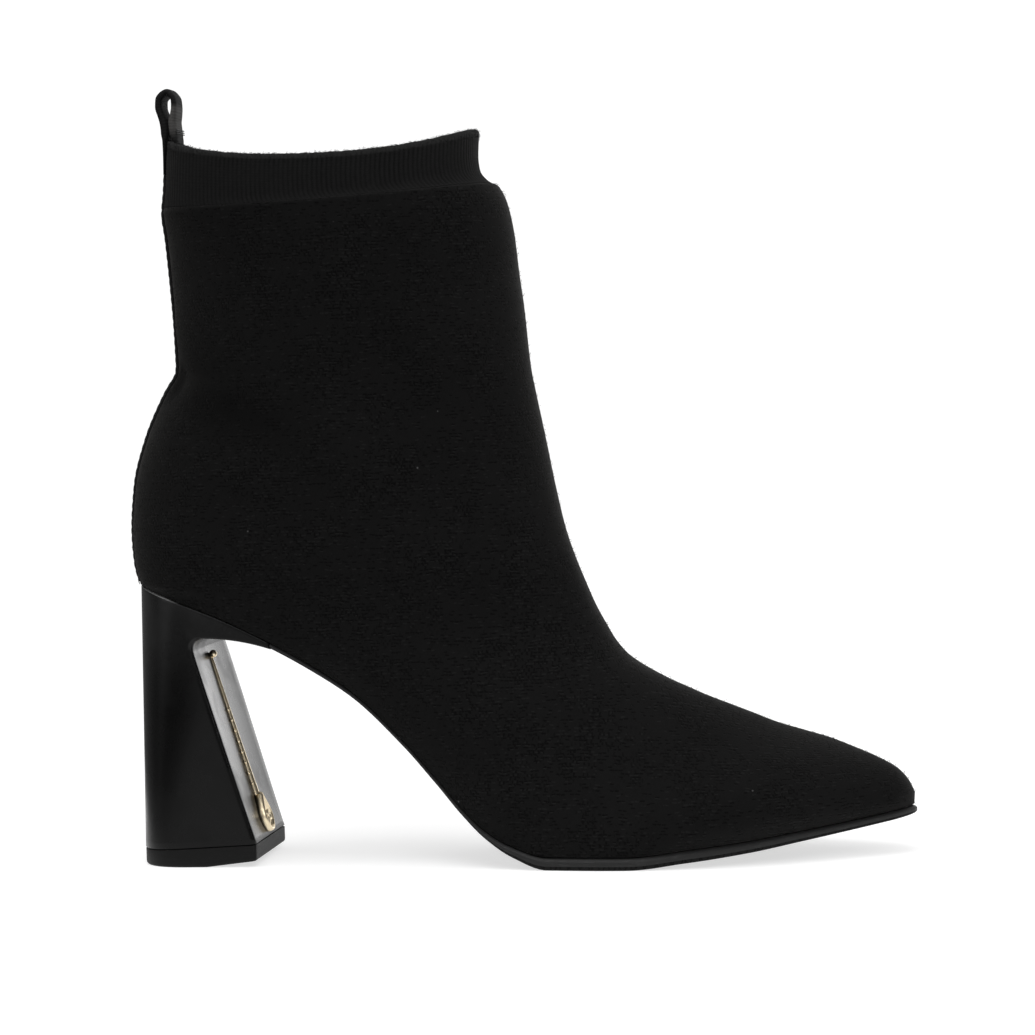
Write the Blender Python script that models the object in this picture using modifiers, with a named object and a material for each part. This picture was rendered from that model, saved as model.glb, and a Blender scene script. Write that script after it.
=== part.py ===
"""Sock boot for the right foot: a knitted sock upper, a thin sole and a covered block heel.

Metres. +X runs to the toe, +Y to the inner side of the foot, +Z up. The origin is the middle of
the flat spot that the heel rests on. The tables measure along the boot from the counter's back.
"""

import math

import bmesh
import bpy
import numpy as np

# Last and shaft
LENGTH = 0.2366
BALL_WIDTH = 0.0748
SEAT_HEIGHT = 0.0855
INSTEP_RISE = 0.842
INSTEP_HEIGHT = SEAT_HEIGHT * INSTEP_RISE
SHAFT_HEIGHT = 0.133
SHAFT_WIDTH = 0.065
TOE_SPRING = 0.0102
SEAT_RADIUS = 0.025
TOE_RADIUS = 0.007

# Walls, layers and the gap between pieces that meet
WALL = 0.002
GAP = 0.0003
SOLE_THICKNESS = 0.0037
SOLE_MARGIN = 0.0008
SOLE_CHAMFER = 0.0008
INSOLE_THICKNESS = 0.002
INSOLE_CLEARANCE = 0.0008

# Heel
HEEL_WIDTH = 0.046
HEEL_CORNER = 0.018
HEEL_SQUARENESS = 2.8
SEAT_MARGIN = 0.0004
LIFT_THICKNESS = 0.005
LIFT_RISE = 0.0018
LIFT_FLAT = 0.022
BREAST_FOOT = 0.0392
BREAST_HEAD = 0.0218
BREAST_DROP = 0.0205
WING_END = 0.0457
WING_CROWN = 0.0355
WING_THICKNESS = 0.0018
WING_RADIUS = 0.0035

# Backstay and pull loop
STAY_WIDTH = 0.009
STAY_THICKNESS = 0.001
LOOP_WIDTH = 0.011
LOOP_THICKNESS = 0.0015
LOOP_TOP = 0.0156
LOOP_PINCH = 0.0062
LOOP_EYE = 0.0112
LOOP_EYE_WIDTH = 0.0036
LOOP_LEAN = 0.0007
LOOP_TAIL = 0.010

# Heel trim
ROD_WIDTH = 0.0022
ROD_DEPTH = 0.0014
BEAD_DIAMETER = 0.0024
ROD_START = 0.0022
CHARM_WIDTH = 0.0095
CHARM_HEIGHT = 0.0125
CHARM_DEPTH = 0.0024
CHARM_RIM = 0.0008
CHARM_FOOT = 0.0012

# Sections of the meshes
SHAFT_SECTIONS = 20
FOOT_SECTIONS = 26
LOWER_STEPS = 7
UPPER_STEPS = 10

# The featherline, where the upper ends on the sole. along is a share of LENGTH, heel of the seat's
# height over the sole, toe of TOE_SPRING, half and mid of BALL_WIDTH, sole of SOLE_THICKNESS.
FEATHER_COLUMNS = ("along", "heel", "toe", "half", "mid", "sole")
FEATHER = (
    (0.008, 1.000, 0.00, 0.334, 0.000, 0.40),
    (0.042, 0.969, 0.00, 0.334, 0.000, 0.40),
    (0.114, 0.896, 0.00, 0.338, -0.003, 0.40),
    (0.190, 0.791, 0.00, 0.328, -0.013, 0.40),
    (0.245, 0.699, 0.00, 0.308, -0.020, 0.40),
    (0.300, 0.589, 0.00, 0.291, -0.029, 0.40),
    (0.359, 0.423, 0.00, 0.291, -0.043, 0.41),
    (0.402, 0.282, 0.00, 0.307, -0.047, 0.43),
    (0.435, 0.172, 0.00, 0.334, -0.047, 0.48),
    (0.465, 0.092, 0.00, 0.365, -0.043, 0.60),
    (0.499, 0.037, 0.00, 0.401, -0.033, 0.82),
    (0.545, 0.000, 0.00, 0.445, -0.023, 1.00),
    (0.647, 0.000, 0.00, 0.486, -0.008, 1.00),
    (0.719, 0.000, 0.16, 0.457, 0.004, 1.00),
    (0.795, 0.000, 0.32, 0.378, 0.017, 0.92),
    (0.858, 0.000, 0.51, 0.287, 0.021, 0.82),
    (0.921, 0.000, 0.71, 0.187, 0.027, 0.74),
    (0.999, 0.000, 1.00, 0.070, 0.033, 0.68),
)

# Shaft sections, from the collar down to the back of the seat. Each plane runs from a point on the
# front to one on the back. front and back are shares of LENGTH, front_up and back_up of
# SHAFT_HEIGHT over the seat, half of SHAFT_WIDTH, sag of SHAFT_HEIGHT, widest of the plane's own
# length from the back, and round the power of the section's curve.
SHAFT_COLUMNS = ("front", "front_up", "back", "back_up", "half", "sag", "widest", "round")
SHAFT = (
    (0.4620, 1.014, 0.0590, 1.012, 0.462, 0.050, 0.50, 2.30),
    (0.4600, 0.958, 0.0572, 0.956, 0.462, 0.040, 0.50, 2.30),
    (0.4620, 0.926, 0.0550, 0.896, 0.463, 0.028, 0.50, 2.30),
    (0.4720, 0.902, 0.0530, 0.868, 0.472, 0.018, 0.50, 2.28),
    (0.4850, 0.888, 0.0525, 0.855, 0.486, 0.012, 0.50, 2.26),
    (0.4945, 0.860, 0.0520, 0.840, 0.492, 0.007, 0.50, 2.24),
    (0.5040, 0.787, 0.0555, 0.790, 0.498, 0.000, 0.50, 2.20),
    (0.5100, 0.684, 0.0600, 0.690, 0.501, 0.000, 0.50, 2.20),
    (0.5150, 0.610, 0.0635, 0.590, 0.498, 0.000, 0.49, 2.20),
    (0.5195, 0.514, 0.0650, 0.500, 0.489, 0.000, 0.48, 2.20),
    (0.5225, 0.465, 0.0640, 0.480, 0.483, 0.000, 0.47, 2.20),
    (0.5280, 0.410, 0.0480, 0.432, 0.480, 0.000, 0.45, 2.25),
    (0.5390, 0.307, 0.0220, 0.333, 0.483, 0.000, 0.42, 2.30),
    (0.5495, 0.204, 0.0050, 0.225, 0.486, 0.000, 0.37, 2.35),
    (0.5620, 0.101, 0.0000, 0.120, 0.480, 0.000, 0.32, 2.40),
    (0.5750, 0.030, 0.0020, 0.050, 0.465, 0.000, 0.29, 2.45),
    (0.5860, -0.020, 0.0080, 0.000, 0.446, 0.000, 0.27, 2.50),
)

# Foot sections, from the back of the seat to the toe tip. under is where the plane meets the
# featherline and front where it meets the ridge, both shares of LENGTH. height is the ridge over
# the featherline below it, a share of INSTEP_HEIGHT. half, mid and ridge are shares of BALL_WIDTH.
FOOT_COLUMNS = ("front", "height", "under", "half", "mid", "ridge", "widest", "round")
FOOT = (
    (0.5980, 1.000, 0.0130, 0.382, 0.000, 0.000, 0.26, 2.50),
    (0.6110, 0.917, 0.0480, 0.377, 0.000, 0.003, 0.25, 2.50),
    (0.6230, 0.847, 0.1180, 0.374, -0.004, 0.006, 0.24, 2.50),
    (0.6375, 0.789, 0.1900, 0.374, -0.010, 0.010, 0.25, 2.40),
    (0.6530, 0.750, 0.2540, 0.377, -0.015, 0.013, 0.27, 2.30),
    (0.6720, 0.708, 0.3130, 0.385, -0.020, 0.020, 0.28, 2.20),
    (0.6930, 0.662, 0.3680, 0.398, -0.026, 0.028, 0.28, 2.15),
    (0.7140, 0.622, 0.4140, 0.414, -0.029, 0.034, 0.26, 2.10),
    (0.7375, 0.579, 0.4560, 0.432, -0.028, 0.040, 0.24, 2.05),
    (0.7650, 0.535, 0.5070, 0.455, -0.022, 0.044, 0.21, 2.00),
    (0.7950, 0.486, 0.5580, 0.479, -0.016, 0.047, 0.18, 1.95),
    (0.8260, 0.432, 0.6170, 0.500, -0.009, 0.047, 0.16, 1.90),
    (0.8600, 0.382, 0.6850, 0.497, 0.000, 0.046, 0.16, 1.90),
    (0.8940, 0.333, 0.7610, 0.440, 0.010, 0.043, 0.18, 1.90),
    (0.9260, 0.276, 0.8330, 0.347, 0.019, 0.040, 0.20, 1.90),
    (0.9550, 0.219, 0.9000, 0.247, 0.025, 0.037, 0.24, 1.90),
    (0.9790, 0.160, 0.9550, 0.165, 0.029, 0.035, 0.30, 1.95),
    (0.9930, 0.100, 0.9850, 0.112, 0.032, 0.034, 0.35, 2.00),
    (1.0000, 0.049, 0.9990, 0.080, 0.033, 0.033, 0.40, 2.00),
)

# The resting face's middle, which is the origin, behind the counter-based lengths of the tables.
HEEL_BACK = FEATHER[0][0] * LENGTH - SEAT_MARGIN
ORIGIN_X = HEEL_BACK + LIFT_FLAT / 2


def column(table, names, name):
    return np.array([row[names.index(name)] for row in table])


def smooth(places, values, at):
    """Monotone cubic through the rows of a table, read at the given places."""
    places, values, at = (np.asarray(v, dtype=float) for v in (places, values, at))
    step = np.diff(places)
    slope = np.diff(values) / step
    bend = np.zeros_like(values)
    bend[0], bend[-1] = slope[0], slope[-1]
    same = slope[:-1] * slope[1:] > 0
    before, after = slope[:-1][same], slope[1:][same]
    bend[1:-1][same] = 2 * before * after / (before + after)
    i = np.clip(np.searchsorted(places, at, side="right") - 1, 0, len(step) - 1)
    t = (at - places[i]) / step[i]
    rise = (values[i + 1] - values[i]) * t * t * (3 - 2 * t)
    tilt = step[i] * t * (1 - t) * (bend[i] * (1 - t) - bend[i + 1] * t)
    return values[i] + rise + tilt


def feather(x):
    """Height, half width, middle and sole thickness of the last's bottom edge at x."""
    along = column(FEATHER, FEATHER_COLUMNS, "along") * LENGTH
    x = np.clip(x, along[0], along[-1])
    value = {n: smooth(along, column(FEATHER, FEATHER_COLUMNS, n), x) for n in FEATHER_COLUMNS[1:]}
    base = SOLE_THICKNESS + GAP
    height = base + value["heel"] * (SEAT_HEIGHT - base) + value["toe"] * TOE_SPRING
    half = value["half"] * BALL_WIDTH * seat_round(x) * toe_round(x)
    return height, half, value["mid"] * BALL_WIDTH, value["sole"] * SOLE_THICKNESS


def seat_round(x):
    back = FEATHER[0][0] * LENGTH
    return np.sqrt(1 - np.clip(1 - (x - back) / SEAT_RADIUS, 0, 1) ** 2)


def toe_round(x):
    tip = FEATHER[-1][0] * LENGTH
    return np.sqrt(1 - np.clip(1 - (tip - x) / TOE_RADIUS, 0, 1) ** 2)


def fan():
    """The tables' rows as sizes in metres, one row for each plane from collar to toe."""
    shaft = {n: column(SHAFT, SHAFT_COLUMNS, n) for n in SHAFT_COLUMNS}
    foot = {n: column(FOOT, FOOT_COLUMNS, n) for n in FOOT_COLUMNS}
    none = np.zeros(len(SHAFT))
    return {
        "front": np.concatenate((shaft["front"], foot["front"])) * LENGTH,
        "front_z": np.concatenate((
            SEAT_HEIGHT + shaft["front_up"] * SHAFT_HEIGHT,
            feather(foot["front"] * LENGTH)[0] + foot["height"] * INSTEP_HEIGHT,
        )),
        "half": np.concatenate((shaft["half"] * SHAFT_WIDTH, foot["half"] * BALL_WIDTH)),
        "mid": np.concatenate((none, foot["mid"])) * BALL_WIDTH,
        "ridge": np.concatenate((none, foot["ridge"])) * BALL_WIDTH,
        "sag": np.concatenate((shaft["sag"] * SHAFT_HEIGHT, np.zeros(len(FOOT)))),
        "widest": np.concatenate((shaft["widest"], foot["widest"])),
        "round": np.concatenate((shaft["round"], foot["round"])),
    }


def planes(at):
    """Each section's own sizes at row numbers at, where the seat's back is the last shaft row."""
    rows = fan()
    value = {n: smooth(np.arange(len(v)), v, at) for n, v in rows.items()}
    corner = len(SHAFT) - 1
    shaft_at = np.minimum(at, corner)
    shaft_rows = np.arange(len(SHAFT))
    back = smooth(shaft_rows, column(SHAFT, SHAFT_COLUMNS, "back") * LENGTH, shaft_at)
    back_z = smooth(shaft_rows, column(SHAFT, SHAFT_COLUMNS, "back_up"), shaft_at)
    under = np.concatenate((FEATHER[0][:1], column(FOOT, FOOT_COLUMNS, "under"))) * LENGTH
    under = smooth(np.arange(len(FOOT) + 1), under, np.maximum(at - corner, 0))
    height, half, mid, _ = feather(under)
    on_foot = at > corner
    value["back"] = np.where(on_foot, under, back)
    value["back_z"] = np.where(on_foot, height, SEAT_HEIGHT + back_z * SHAFT_HEIGHT)
    value["edge"] = np.where(on_foot, half, 0.0)
    value["edge_mid"] = np.where(on_foot, mid, 0.0)
    value["half"] = value["half"] * np.where(on_foot, toe_round(under), 1.0)
    return value


def form(at):
    """Points of the last's surface, a row for each plane, from the outer edge over to the inner."""
    p = {n: v[:, None] for n, v in planes(np.asarray(at, dtype=float)).items()}
    low = np.linspace(0, 1, LOWER_STEPS + 1)[None, :-1] * math.pi / 2
    high = np.linspace(0, 1, UPPER_STEPS + 1)[None, :] * math.pi / 2
    power = p["round"]
    held = np.clip(1 - (p["edge"] / np.maximum(p["half"], 1e-6)) ** power, 0, 1)
    reach = held * np.cos(low) ** power
    share = np.hstack((p["widest"] * (1 - np.cos(low)), p["widest"] + (1 - p["widest"]) * np.sin(high)))
    half = np.hstack((
        p["half"] * np.clip(1 - reach, 0, 1) ** (1 / power),
        p["half"] * np.clip(1 - np.sin(high) ** power, 0, 1) ** (1 / power),
    ))
    lower = np.clip(share / p["widest"], 0, 1)
    upper = np.clip((share - p["widest"]) / (1 - p["widest"]), 0, 1)
    mid = p["edge_mid"] + (p["mid"] - p["edge_mid"]) * lower + (p["ridge"] - p["mid"]) * upper**2
    x = p["back"] + share * (p["front"] - p["back"])
    z = p["back_z"] + share * (p["front_z"] - p["back_z"])
    z = z - p["sag"] * (half / np.maximum(p["half"], 1e-6)) ** 2
    outer = np.stack((x, mid - half, z), axis=-1)
    inner = np.stack((x, mid + half, z), axis=-1)[:, -2::-1]
    return np.concatenate((outer, inner), axis=1) - [ORIGIN_X, 0, 0]


def section_places():
    corner = len(SHAFT) - 1
    last = corner + len(FOOT)
    return np.concatenate((
        np.linspace(0, corner, SHAFT_SECTIONS + 1),
        np.linspace(corner, last, FOOT_SECTIONS + 1)[1:],
    ))


def outline(x, margin):
    """The featherline moved out by margin in plan, as outer and inner points at each x."""
    step = 1e-5
    edges = []
    for side in (-1, 1):
        low, high = (side * feather(x + d)[1] + feather(x + d)[2] for d in (-step, step))
        mid = side * feather(x)[1] + feather(x)[2]
        slope = (high - low) / (2 * step)
        length = np.hypot(1, slope)
        ends = np.isclose(feather(x)[1], 0)
        way_x = np.where(ends, np.where(x < LENGTH / 2, -1, 1), -side * slope / length)
        way_y = np.where(ends, 0, side / length)
        edges.append(np.stack((x + margin * way_x, mid + margin * way_y), axis=-1))
    return edges


def stations(start, end, count):
    """Places along the boot, closer together at the two round ends."""
    turn = np.linspace(0, math.pi, count)
    eased = 0.5 * (1 - np.cos(turn))
    return start + (end - start) * (0.6 * eased + 0.4 * turn / math.pi)


def new_object(name, mesh, colour, roughness, metallic=0.0):
    material = bpy.data.materials.new(name)
    material.use_nodes = True
    shader = material.node_tree.nodes["Principled BSDF"]
    shader.inputs["Base Color"].default_value = (*colour, 1)
    shader.inputs["Roughness"].default_value = roughness
    shader.inputs["Metallic"].default_value = metallic
    mesh.materials.append(material)
    thing = bpy.data.objects.new(name, mesh)
    boot.objects.link(thing)
    mesh.shade_smooth()
    mesh.set_sharp_from_angle(angle=math.radians(40))
    return thing


def mesh_from(name, points, faces):
    """A mesh with its doubled points merged, empty faces gone and faces pointing out."""
    mesh = bpy.data.meshes.new(name)
    mesh.from_pydata([tuple(p) for p in points], [], faces)
    work = bmesh.new()
    work.from_mesh(mesh)
    bmesh.ops.remove_doubles(work, verts=work.verts, dist=2e-6)
    bmesh.ops.dissolve_degenerate(work, edges=work.edges, dist=1e-6)
    bmesh.ops.recalc_face_normals(work, faces=work.faces)
    work.to_mesh(mesh)
    work.free()
    return mesh


def sheet(name, grid):
    """An open surface through a grid of points."""
    rows, columns = grid.shape[:2]
    faces = []
    for i in range(rows - 1):
        for j in range(columns - 1):
            a = i * columns + j
            faces.append((a, a + 1, a + columns + 1, a + columns))
    return mesh_from(name, grid.reshape(-1, 3), faces)


def stack(name, rings):
    """A closed solid through rings, bottom first, each an outer and an inner edge, back to front."""
    count = len(rings[0][0])
    points = np.concatenate([np.concatenate((outer, inner[::-1])) for outer, inner in rings])
    around = 2 * count
    faces = []
    for level in range(len(rings) - 1):
        for j in range(around):
            a, b = level * around + j, level * around + (j + 1) % around
            faces.append((a, b, b + around, a + around))
    for level in (0, len(rings) - 1):
        base = level * around
        for j in range(count - 1):
            faces.append((base + j, base + j + 1, base + around - 2 - j, base + around - 1 - j))
    return mesh_from(name, points, faces)


def level(edges, height):
    """One ring of a stack: plan edges with a height for each point."""
    ring = []
    for edge in edges:
        z = height(edge[:, 0]) if callable(height) else np.full(len(edge), height)
        ring.append(np.column_stack((edge[:, 0] - ORIGIN_X, edge[:, 1], z)))
    return ring


def add_solidify(thing, thickness, offset):
    shell = thing.modifiers.new("wall", "SOLIDIFY")
    shell.thickness = thickness
    shell.offset = offset
    shell.use_even_offset = True
    return shell


def make_upper():
    mesh = sheet("upper", form(section_places()))
    thing = new_object("upper", mesh, (0.012, 0.012, 0.013), 0.9)
    add_solidify(thing, WALL, -1.0)


def make_insole():
    inset = WALL + INSOLE_CLEARANCE
    back = FEATHER[0][0] * LENGTH
    x = stations(back, FEATHER[-1][0] * LENGTH, 34)
    edges = outline(x, -inset)
    rings = [level(edges, lambda v: feather(v)[0])]
    rings.append(level(edges, lambda v: feather(v)[0] + INSOLE_THICKNESS))
    new_object("insole", stack("insole", rings), (0.05, 0.045, 0.04), 0.8)


def make_outsole():
    x = stations(WING_END + GAP, FEATHER[-1][0] * LENGTH, 40)
    wide = outline(x, SOLE_MARGIN)
    narrow = outline(x, SOLE_MARGIN - SOLE_CHAMFER)

    def top(v):
        return feather(v)[0] - GAP

    def bottom(v):
        return top(v) - feather(v)[3]

    rings = [level(narrow, bottom), level(wide, lambda v: bottom(v) + SOLE_CHAMFER), level(wide, top)]
    new_object("outsole", stack("outsole", rings), (0.02, 0.02, 0.021), 0.5)


def lift_top(x):
    """Height of the joint between lift and block, which rises to the breast."""
    return LIFT_THICKNESS + LIFT_RISE * np.clip((x - HEEL_BACK) / (BREAST_FOOT - HEEL_BACK), 0, 1)


def lift_bottom(x):
    """The lift's underside: a flat spot at the back, then a slight rise to the breast."""
    start = HEEL_BACK + LIFT_FLAT
    return LIFT_RISE * np.clip((x - start) / (BREAST_FOOT - start), 0, 1)


def heel_edges(x, share):
    """Plan edges of the heel at a share of its height, round at the seat and squarer below."""
    from_back = np.clip(1 - (x - HEEL_BACK) / HEEL_CORNER, 0, 1)
    foot_half = HEEL_WIDTH / 2 * (1 - from_back**HEEL_SQUARENESS) ** (1 / HEEL_SQUARENESS)
    seat = outline(np.clip(x + SEAT_MARGIN, FEATHER[0][0] * LENGTH, None), SEAT_MARGIN)
    edges = []
    for side, edge in zip((-1, 1), seat):
        seat_x = np.where(x <= HEEL_BACK, HEEL_BACK, edge[:, 0])
        edges.append(np.column_stack((
            x + (seat_x - x) * share,
            side * foot_half + (edge[:, 1] - side * foot_half) * share,
        )))
    return edges


def heel_stations(end):
    turn = np.linspace(0, 1, 9)
    corner = HEEL_BACK + HEEL_CORNER * (1 - np.cos(turn * math.pi / 2))
    return np.concatenate((corner, np.linspace(corner[-1], end, 6)[1:]))


def make_top_lift():
    x = np.sort(np.append(heel_stations(BREAST_FOOT), HEEL_BACK + LIFT_FLAT))
    edges = heel_edges(x, 0.0)
    rings = [level(edges, lift_bottom), level(edges, lambda v: lift_top(v) - GAP)]
    new_object("top_lift", stack("top_lift", rings), (0.03, 0.03, 0.031), 0.55)


def arc(centre, radius, start, end, count):
    turn = np.linspace(start, end, count)
    return [(centre[0] + radius * math.cos(t), centre[1] + radius * math.sin(t)) for t in turn]


def breast_line():
    """Foot and head of the breast in side view, and the unit way up along it."""
    foot = np.array((BREAST_FOOT, lift_top(BREAST_FOOT)))
    head = np.array((BREAST_HEAD, SEAT_HEIGHT - BREAST_DROP))
    way = (head - foot) / np.hypot(*(head - foot))
    return foot, head, way


def heel_profile():
    """Side view of the block: breast, rounded corner and the wing's arch under the waist."""
    foot, head, way = breast_line()
    crown_z = feather(WING_CROWN)[0] - GAP - 2 * WING_THICKNESS
    end_z = feather(WING_END)[0] - GAP - WING_THICKNESS
    lean = math.atan2(way[1], way[0])
    ahead = np.array((way[1], -way[0]))
    centre = head + ahead * WING_RADIUS
    corner = arc(centre, WING_RADIUS, lean + math.pi / 2, math.pi / 2 + math.radians(8), 7)
    last = np.array(corner[-1])
    crown = np.array((WING_CROWN, crown_z))
    end = np.array((WING_END, end_z))
    span = np.linspace(0, 1, 8)[1:, None]
    arch = (1 - span) ** 2 * last + 2 * span * (1 - span) * crown + span**2 * end
    behind = HEEL_BACK - HEEL_CORNER
    high = SEAT_HEIGHT + HEEL_CORNER
    below = foot - way * LIFT_THICKNESS
    return [tuple(below), *corner, *map(tuple, arch), (WING_END, high), (behind, high), (behind, below[1])]


def prism(name, profile, half_depth):
    """A closed side-view outline carried across the boot."""
    count = len(profile)
    points = [(x - ORIGIN_X, side * half_depth, z) for side in (-1, 1) for x, z in profile]
    faces = [tuple(range(count)), tuple(range(2 * count - 1, count - 1, -1))]
    faces += [(j, (j + 1) % count, (j + 1) % count + count, j + count) for j in range(count)]
    return mesh_from(name, points, faces)


def add_cutter(name, mesh):
    cutter = bpy.data.objects.new(name, mesh)
    cutters.objects.link(cutter)
    cutter.hide_render = True
    cutter.display_type = "WIRE"
    return cutter


def make_heel_block():
    x = heel_stations(WING_END + SEAT_MARGIN)
    rings = []
    for share in np.linspace(0, 1, 7):
        edges = heel_edges(x, share)

        def height(v, share=share):
            low = lift_top(v)
            return low + (feather(v)[0] - GAP - low) * share

        rings.append(level(edges, height))
    mesh = stack("heel_block", rings)
    thing = new_object("heel_block", mesh, (0.008, 0.008, 0.009), 0.22)
    cutter = add_cutter("heel_outline", prism("heel_outline", heel_profile(), BALL_WIDTH))
    trim = thing.modifiers.new("outline", "BOOLEAN")
    trim.operation = "INTERSECT"
    trim.object = cutter


def back_strip(at, half_width, stand_off, count=5):
    """A strip of the upper's back, half_width to each side, moved off the knit by stand_off."""
    p = {n: v[:, None] for n, v in planes(at).items()}
    y = np.linspace(-half_width, half_width, count)[None, :]
    power = p["round"]
    share = p["widest"] * (1 - (1 - np.abs(y / p["half"]) ** power) ** (1 / power))
    x = p["back"] + share * (p["front"] - p["back"])
    z = p["back_z"] + share * (p["front_z"] - p["back_z"]) - p["sag"] * (y / p["half"]) ** 2
    grid = np.stack((x - ORIGIN_X, y + 0 * x, z), axis=-1)
    normal = np.cross(np.gradient(grid, axis=1), np.gradient(grid, axis=0))
    normal /= np.linalg.norm(normal, axis=-1, keepdims=True)
    normal *= -np.sign(normal[..., :1])
    return grid + normal * stand_off


def place_at_height(height):
    """Row number of the shaft plane whose back is at a height."""
    rows = np.linspace(0, len(SHAFT) - 1, 400)
    return float(np.interp(-height, -planes(rows)["back_z"], rows))


def back_at(height):
    """The shaft's back in side view at a height."""
    return float(planes(np.array([place_at_height(height)]))["back"][0]) - ORIGIN_X


def make_backstay():
    loop_foot = collar_back()[1] - LOOP_TAIL - 2 * GAP
    at = np.linspace(place_at_height(loop_foot), place_at_height(SEAT_HEIGHT + GAP + STAY_THICKNESS), 30)
    mesh = sheet("backstay", back_strip(at, STAY_WIDTH / 2, GAP))
    thing = new_object("backstay", mesh, (0.03, 0.03, 0.031), 0.6)
    shell = add_solidify(thing, STAY_THICKNESS, 1.0)
    if mesh.polygons[0].normal.x > 0:
        shell.offset = -1.0


def collar_bow(across):
    """How far the collar's back has curved forward at a distance to the side."""
    p = planes(np.array([0.0]))
    power = p["round"][0]
    share = p["widest"][0] * (1 - (1 - (across / p["half"][0]) ** power) ** (1 / power))
    return float(share * (p["front"][0] - p["back"][0]))


def collar_back():
    """The outer top corner of the collar at the back, in side view."""
    rim = planes(np.array([0.0]))
    return float(rim["back"][0]) - ORIGIN_X, float(rim["back_z"][0])


def loop_path():
    """The webbing's middle line in side view: up the outside, round the eye, down the inside."""
    back, top = collar_back()
    middle = back + WALL / 2
    outside = WALL / 2 + GAP + LOOP_THICKNESS / 2
    inside = outside + collar_bow(LOOP_WIDTH / 2) + GAP
    lean = [back - back_at(top - LOOP_TAIL * share) for share in (1, 0.5)]
    pinch = LOOP_THICKNESS / 2 + GAP / 2
    eye = (LOOP_EYE_WIDTH + LOOP_THICKNESS) / 2
    head = [
        (pinch, LOOP_PINCH * 0.8),
        (pinch, LOOP_PINCH),
        (pinch + (eye - pinch) * 0.7, (LOOP_PINCH + LOOP_EYE) / 2),
        (eye, LOOP_EYE),
        (eye * 0.72, LOOP_EYE + (LOOP_TOP - LOOP_EYE) * 0.72),
        (eye * 0.35, LOOP_EYE + (LOOP_TOP - LOOP_EYE) * 0.95),
    ]
    path = []
    for side, limb in ((-1, outside), (1, inside)):
        low, half_way = (limb + side * -shift for shift in lean)
        tail = [(low, -LOOP_TAIL), (half_way, -LOOP_TAIL / 2), (limb, GAP)]
        tail.append(((pinch + limb) / 2, LOOP_PINCH * 0.45))
        half = [(middle + side * x, top + z) for x, z in tail]
        half += [(middle + side * x - LOOP_LEAN, top + z) for x, z in head]
        path += half + [(middle - LOOP_LEAN, top + LOOP_TOP)] if side < 0 else half[::-1]
    return np.array(path)


def make_pull_loop():
    path = loop_path()
    rows = np.arange(len(path))
    at = np.linspace(0, len(path) - 1, 2 * len(path) - 1)
    line = np.column_stack([smooth(rows, path[:, k], at) for k in (0, 1)])
    y = np.linspace(-LOOP_WIDTH / 2, LOOP_WIDTH / 2, 3)
    grid = np.array([[(x, v, z) for v in y] for x, z in line])
    thing = new_object("pull_loop", sheet("pull_loop", grid), (0.02, 0.02, 0.021), 0.7)
    add_solidify(thing, LOOP_THICKNESS, 0.0)


def on_breast(up, out):
    """A point in side view, up along the breast from its foot and out in front of it."""
    foot, _, way = breast_line()
    ahead = np.array((way[1], -way[0]))
    x, z = foot + way * up + ahead * out
    return x - ORIGIN_X, z


def breast_tilt():
    _, _, way = breast_line()
    return math.atan2(-way[0], way[1])


def teardrop(width, height, count):
    """Outline of a drop with its round end down, as points across and up."""
    radius = width / 2
    reach = height - radius
    touch = math.acos(radius / reach)
    turn = np.linspace(math.pi / 2 + touch, 5 * math.pi / 2 - touch, count)
    points = [(radius * math.cos(t), radius + radius * math.sin(t)) for t in turn]
    points.append((0.0, height))
    return points


def make_charm():
    """A drop-shaped plate with a raised rim, leaning with the breast."""
    outer = teardrop(CHARM_WIDTH, CHARM_HEIGHT, 21)
    middle = CHARM_WIDTH / 2
    levels = (
        (1.0, 0.0),
        (1.0, CHARM_DEPTH - CHARM_RIM / 2),
        (1.0 - CHARM_RIM / CHARM_WIDTH, CHARM_DEPTH),
        (1.0 - 3 * CHARM_RIM / CHARM_WIDTH, CHARM_DEPTH),
        (1.0 - 4 * CHARM_RIM / CHARM_WIDTH, CHARM_DEPTH - CHARM_RIM),
    )
    points, faces = [], []
    for scale, out in levels:
        for across, up in outer:
            x, z = on_breast(CHARM_FOOT + middle + (up - middle) * scale, GAP + out)
            points.append((x, across * scale, z))
    count = len(outer)
    for row in range(len(levels) - 1):
        for j in range(count):
            a, b = row * count + j, row * count + (j + 1) % count
            faces.append((a, b, b + count, a + count))
    faces.append(tuple(range(count)))
    dome = len(points)
    x, z = on_breast(CHARM_FOOT + middle, GAP + CHARM_DEPTH)
    points.append((x, 0.0, z))
    base = (len(levels) - 1) * count
    faces += [(base + j, base + (j + 1) % count, dome) for j in range(count)]
    new_object("charm", mesh_from("charm", points, faces), (0.75, 0.56, 0.3), 0.22, 1.0)


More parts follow.
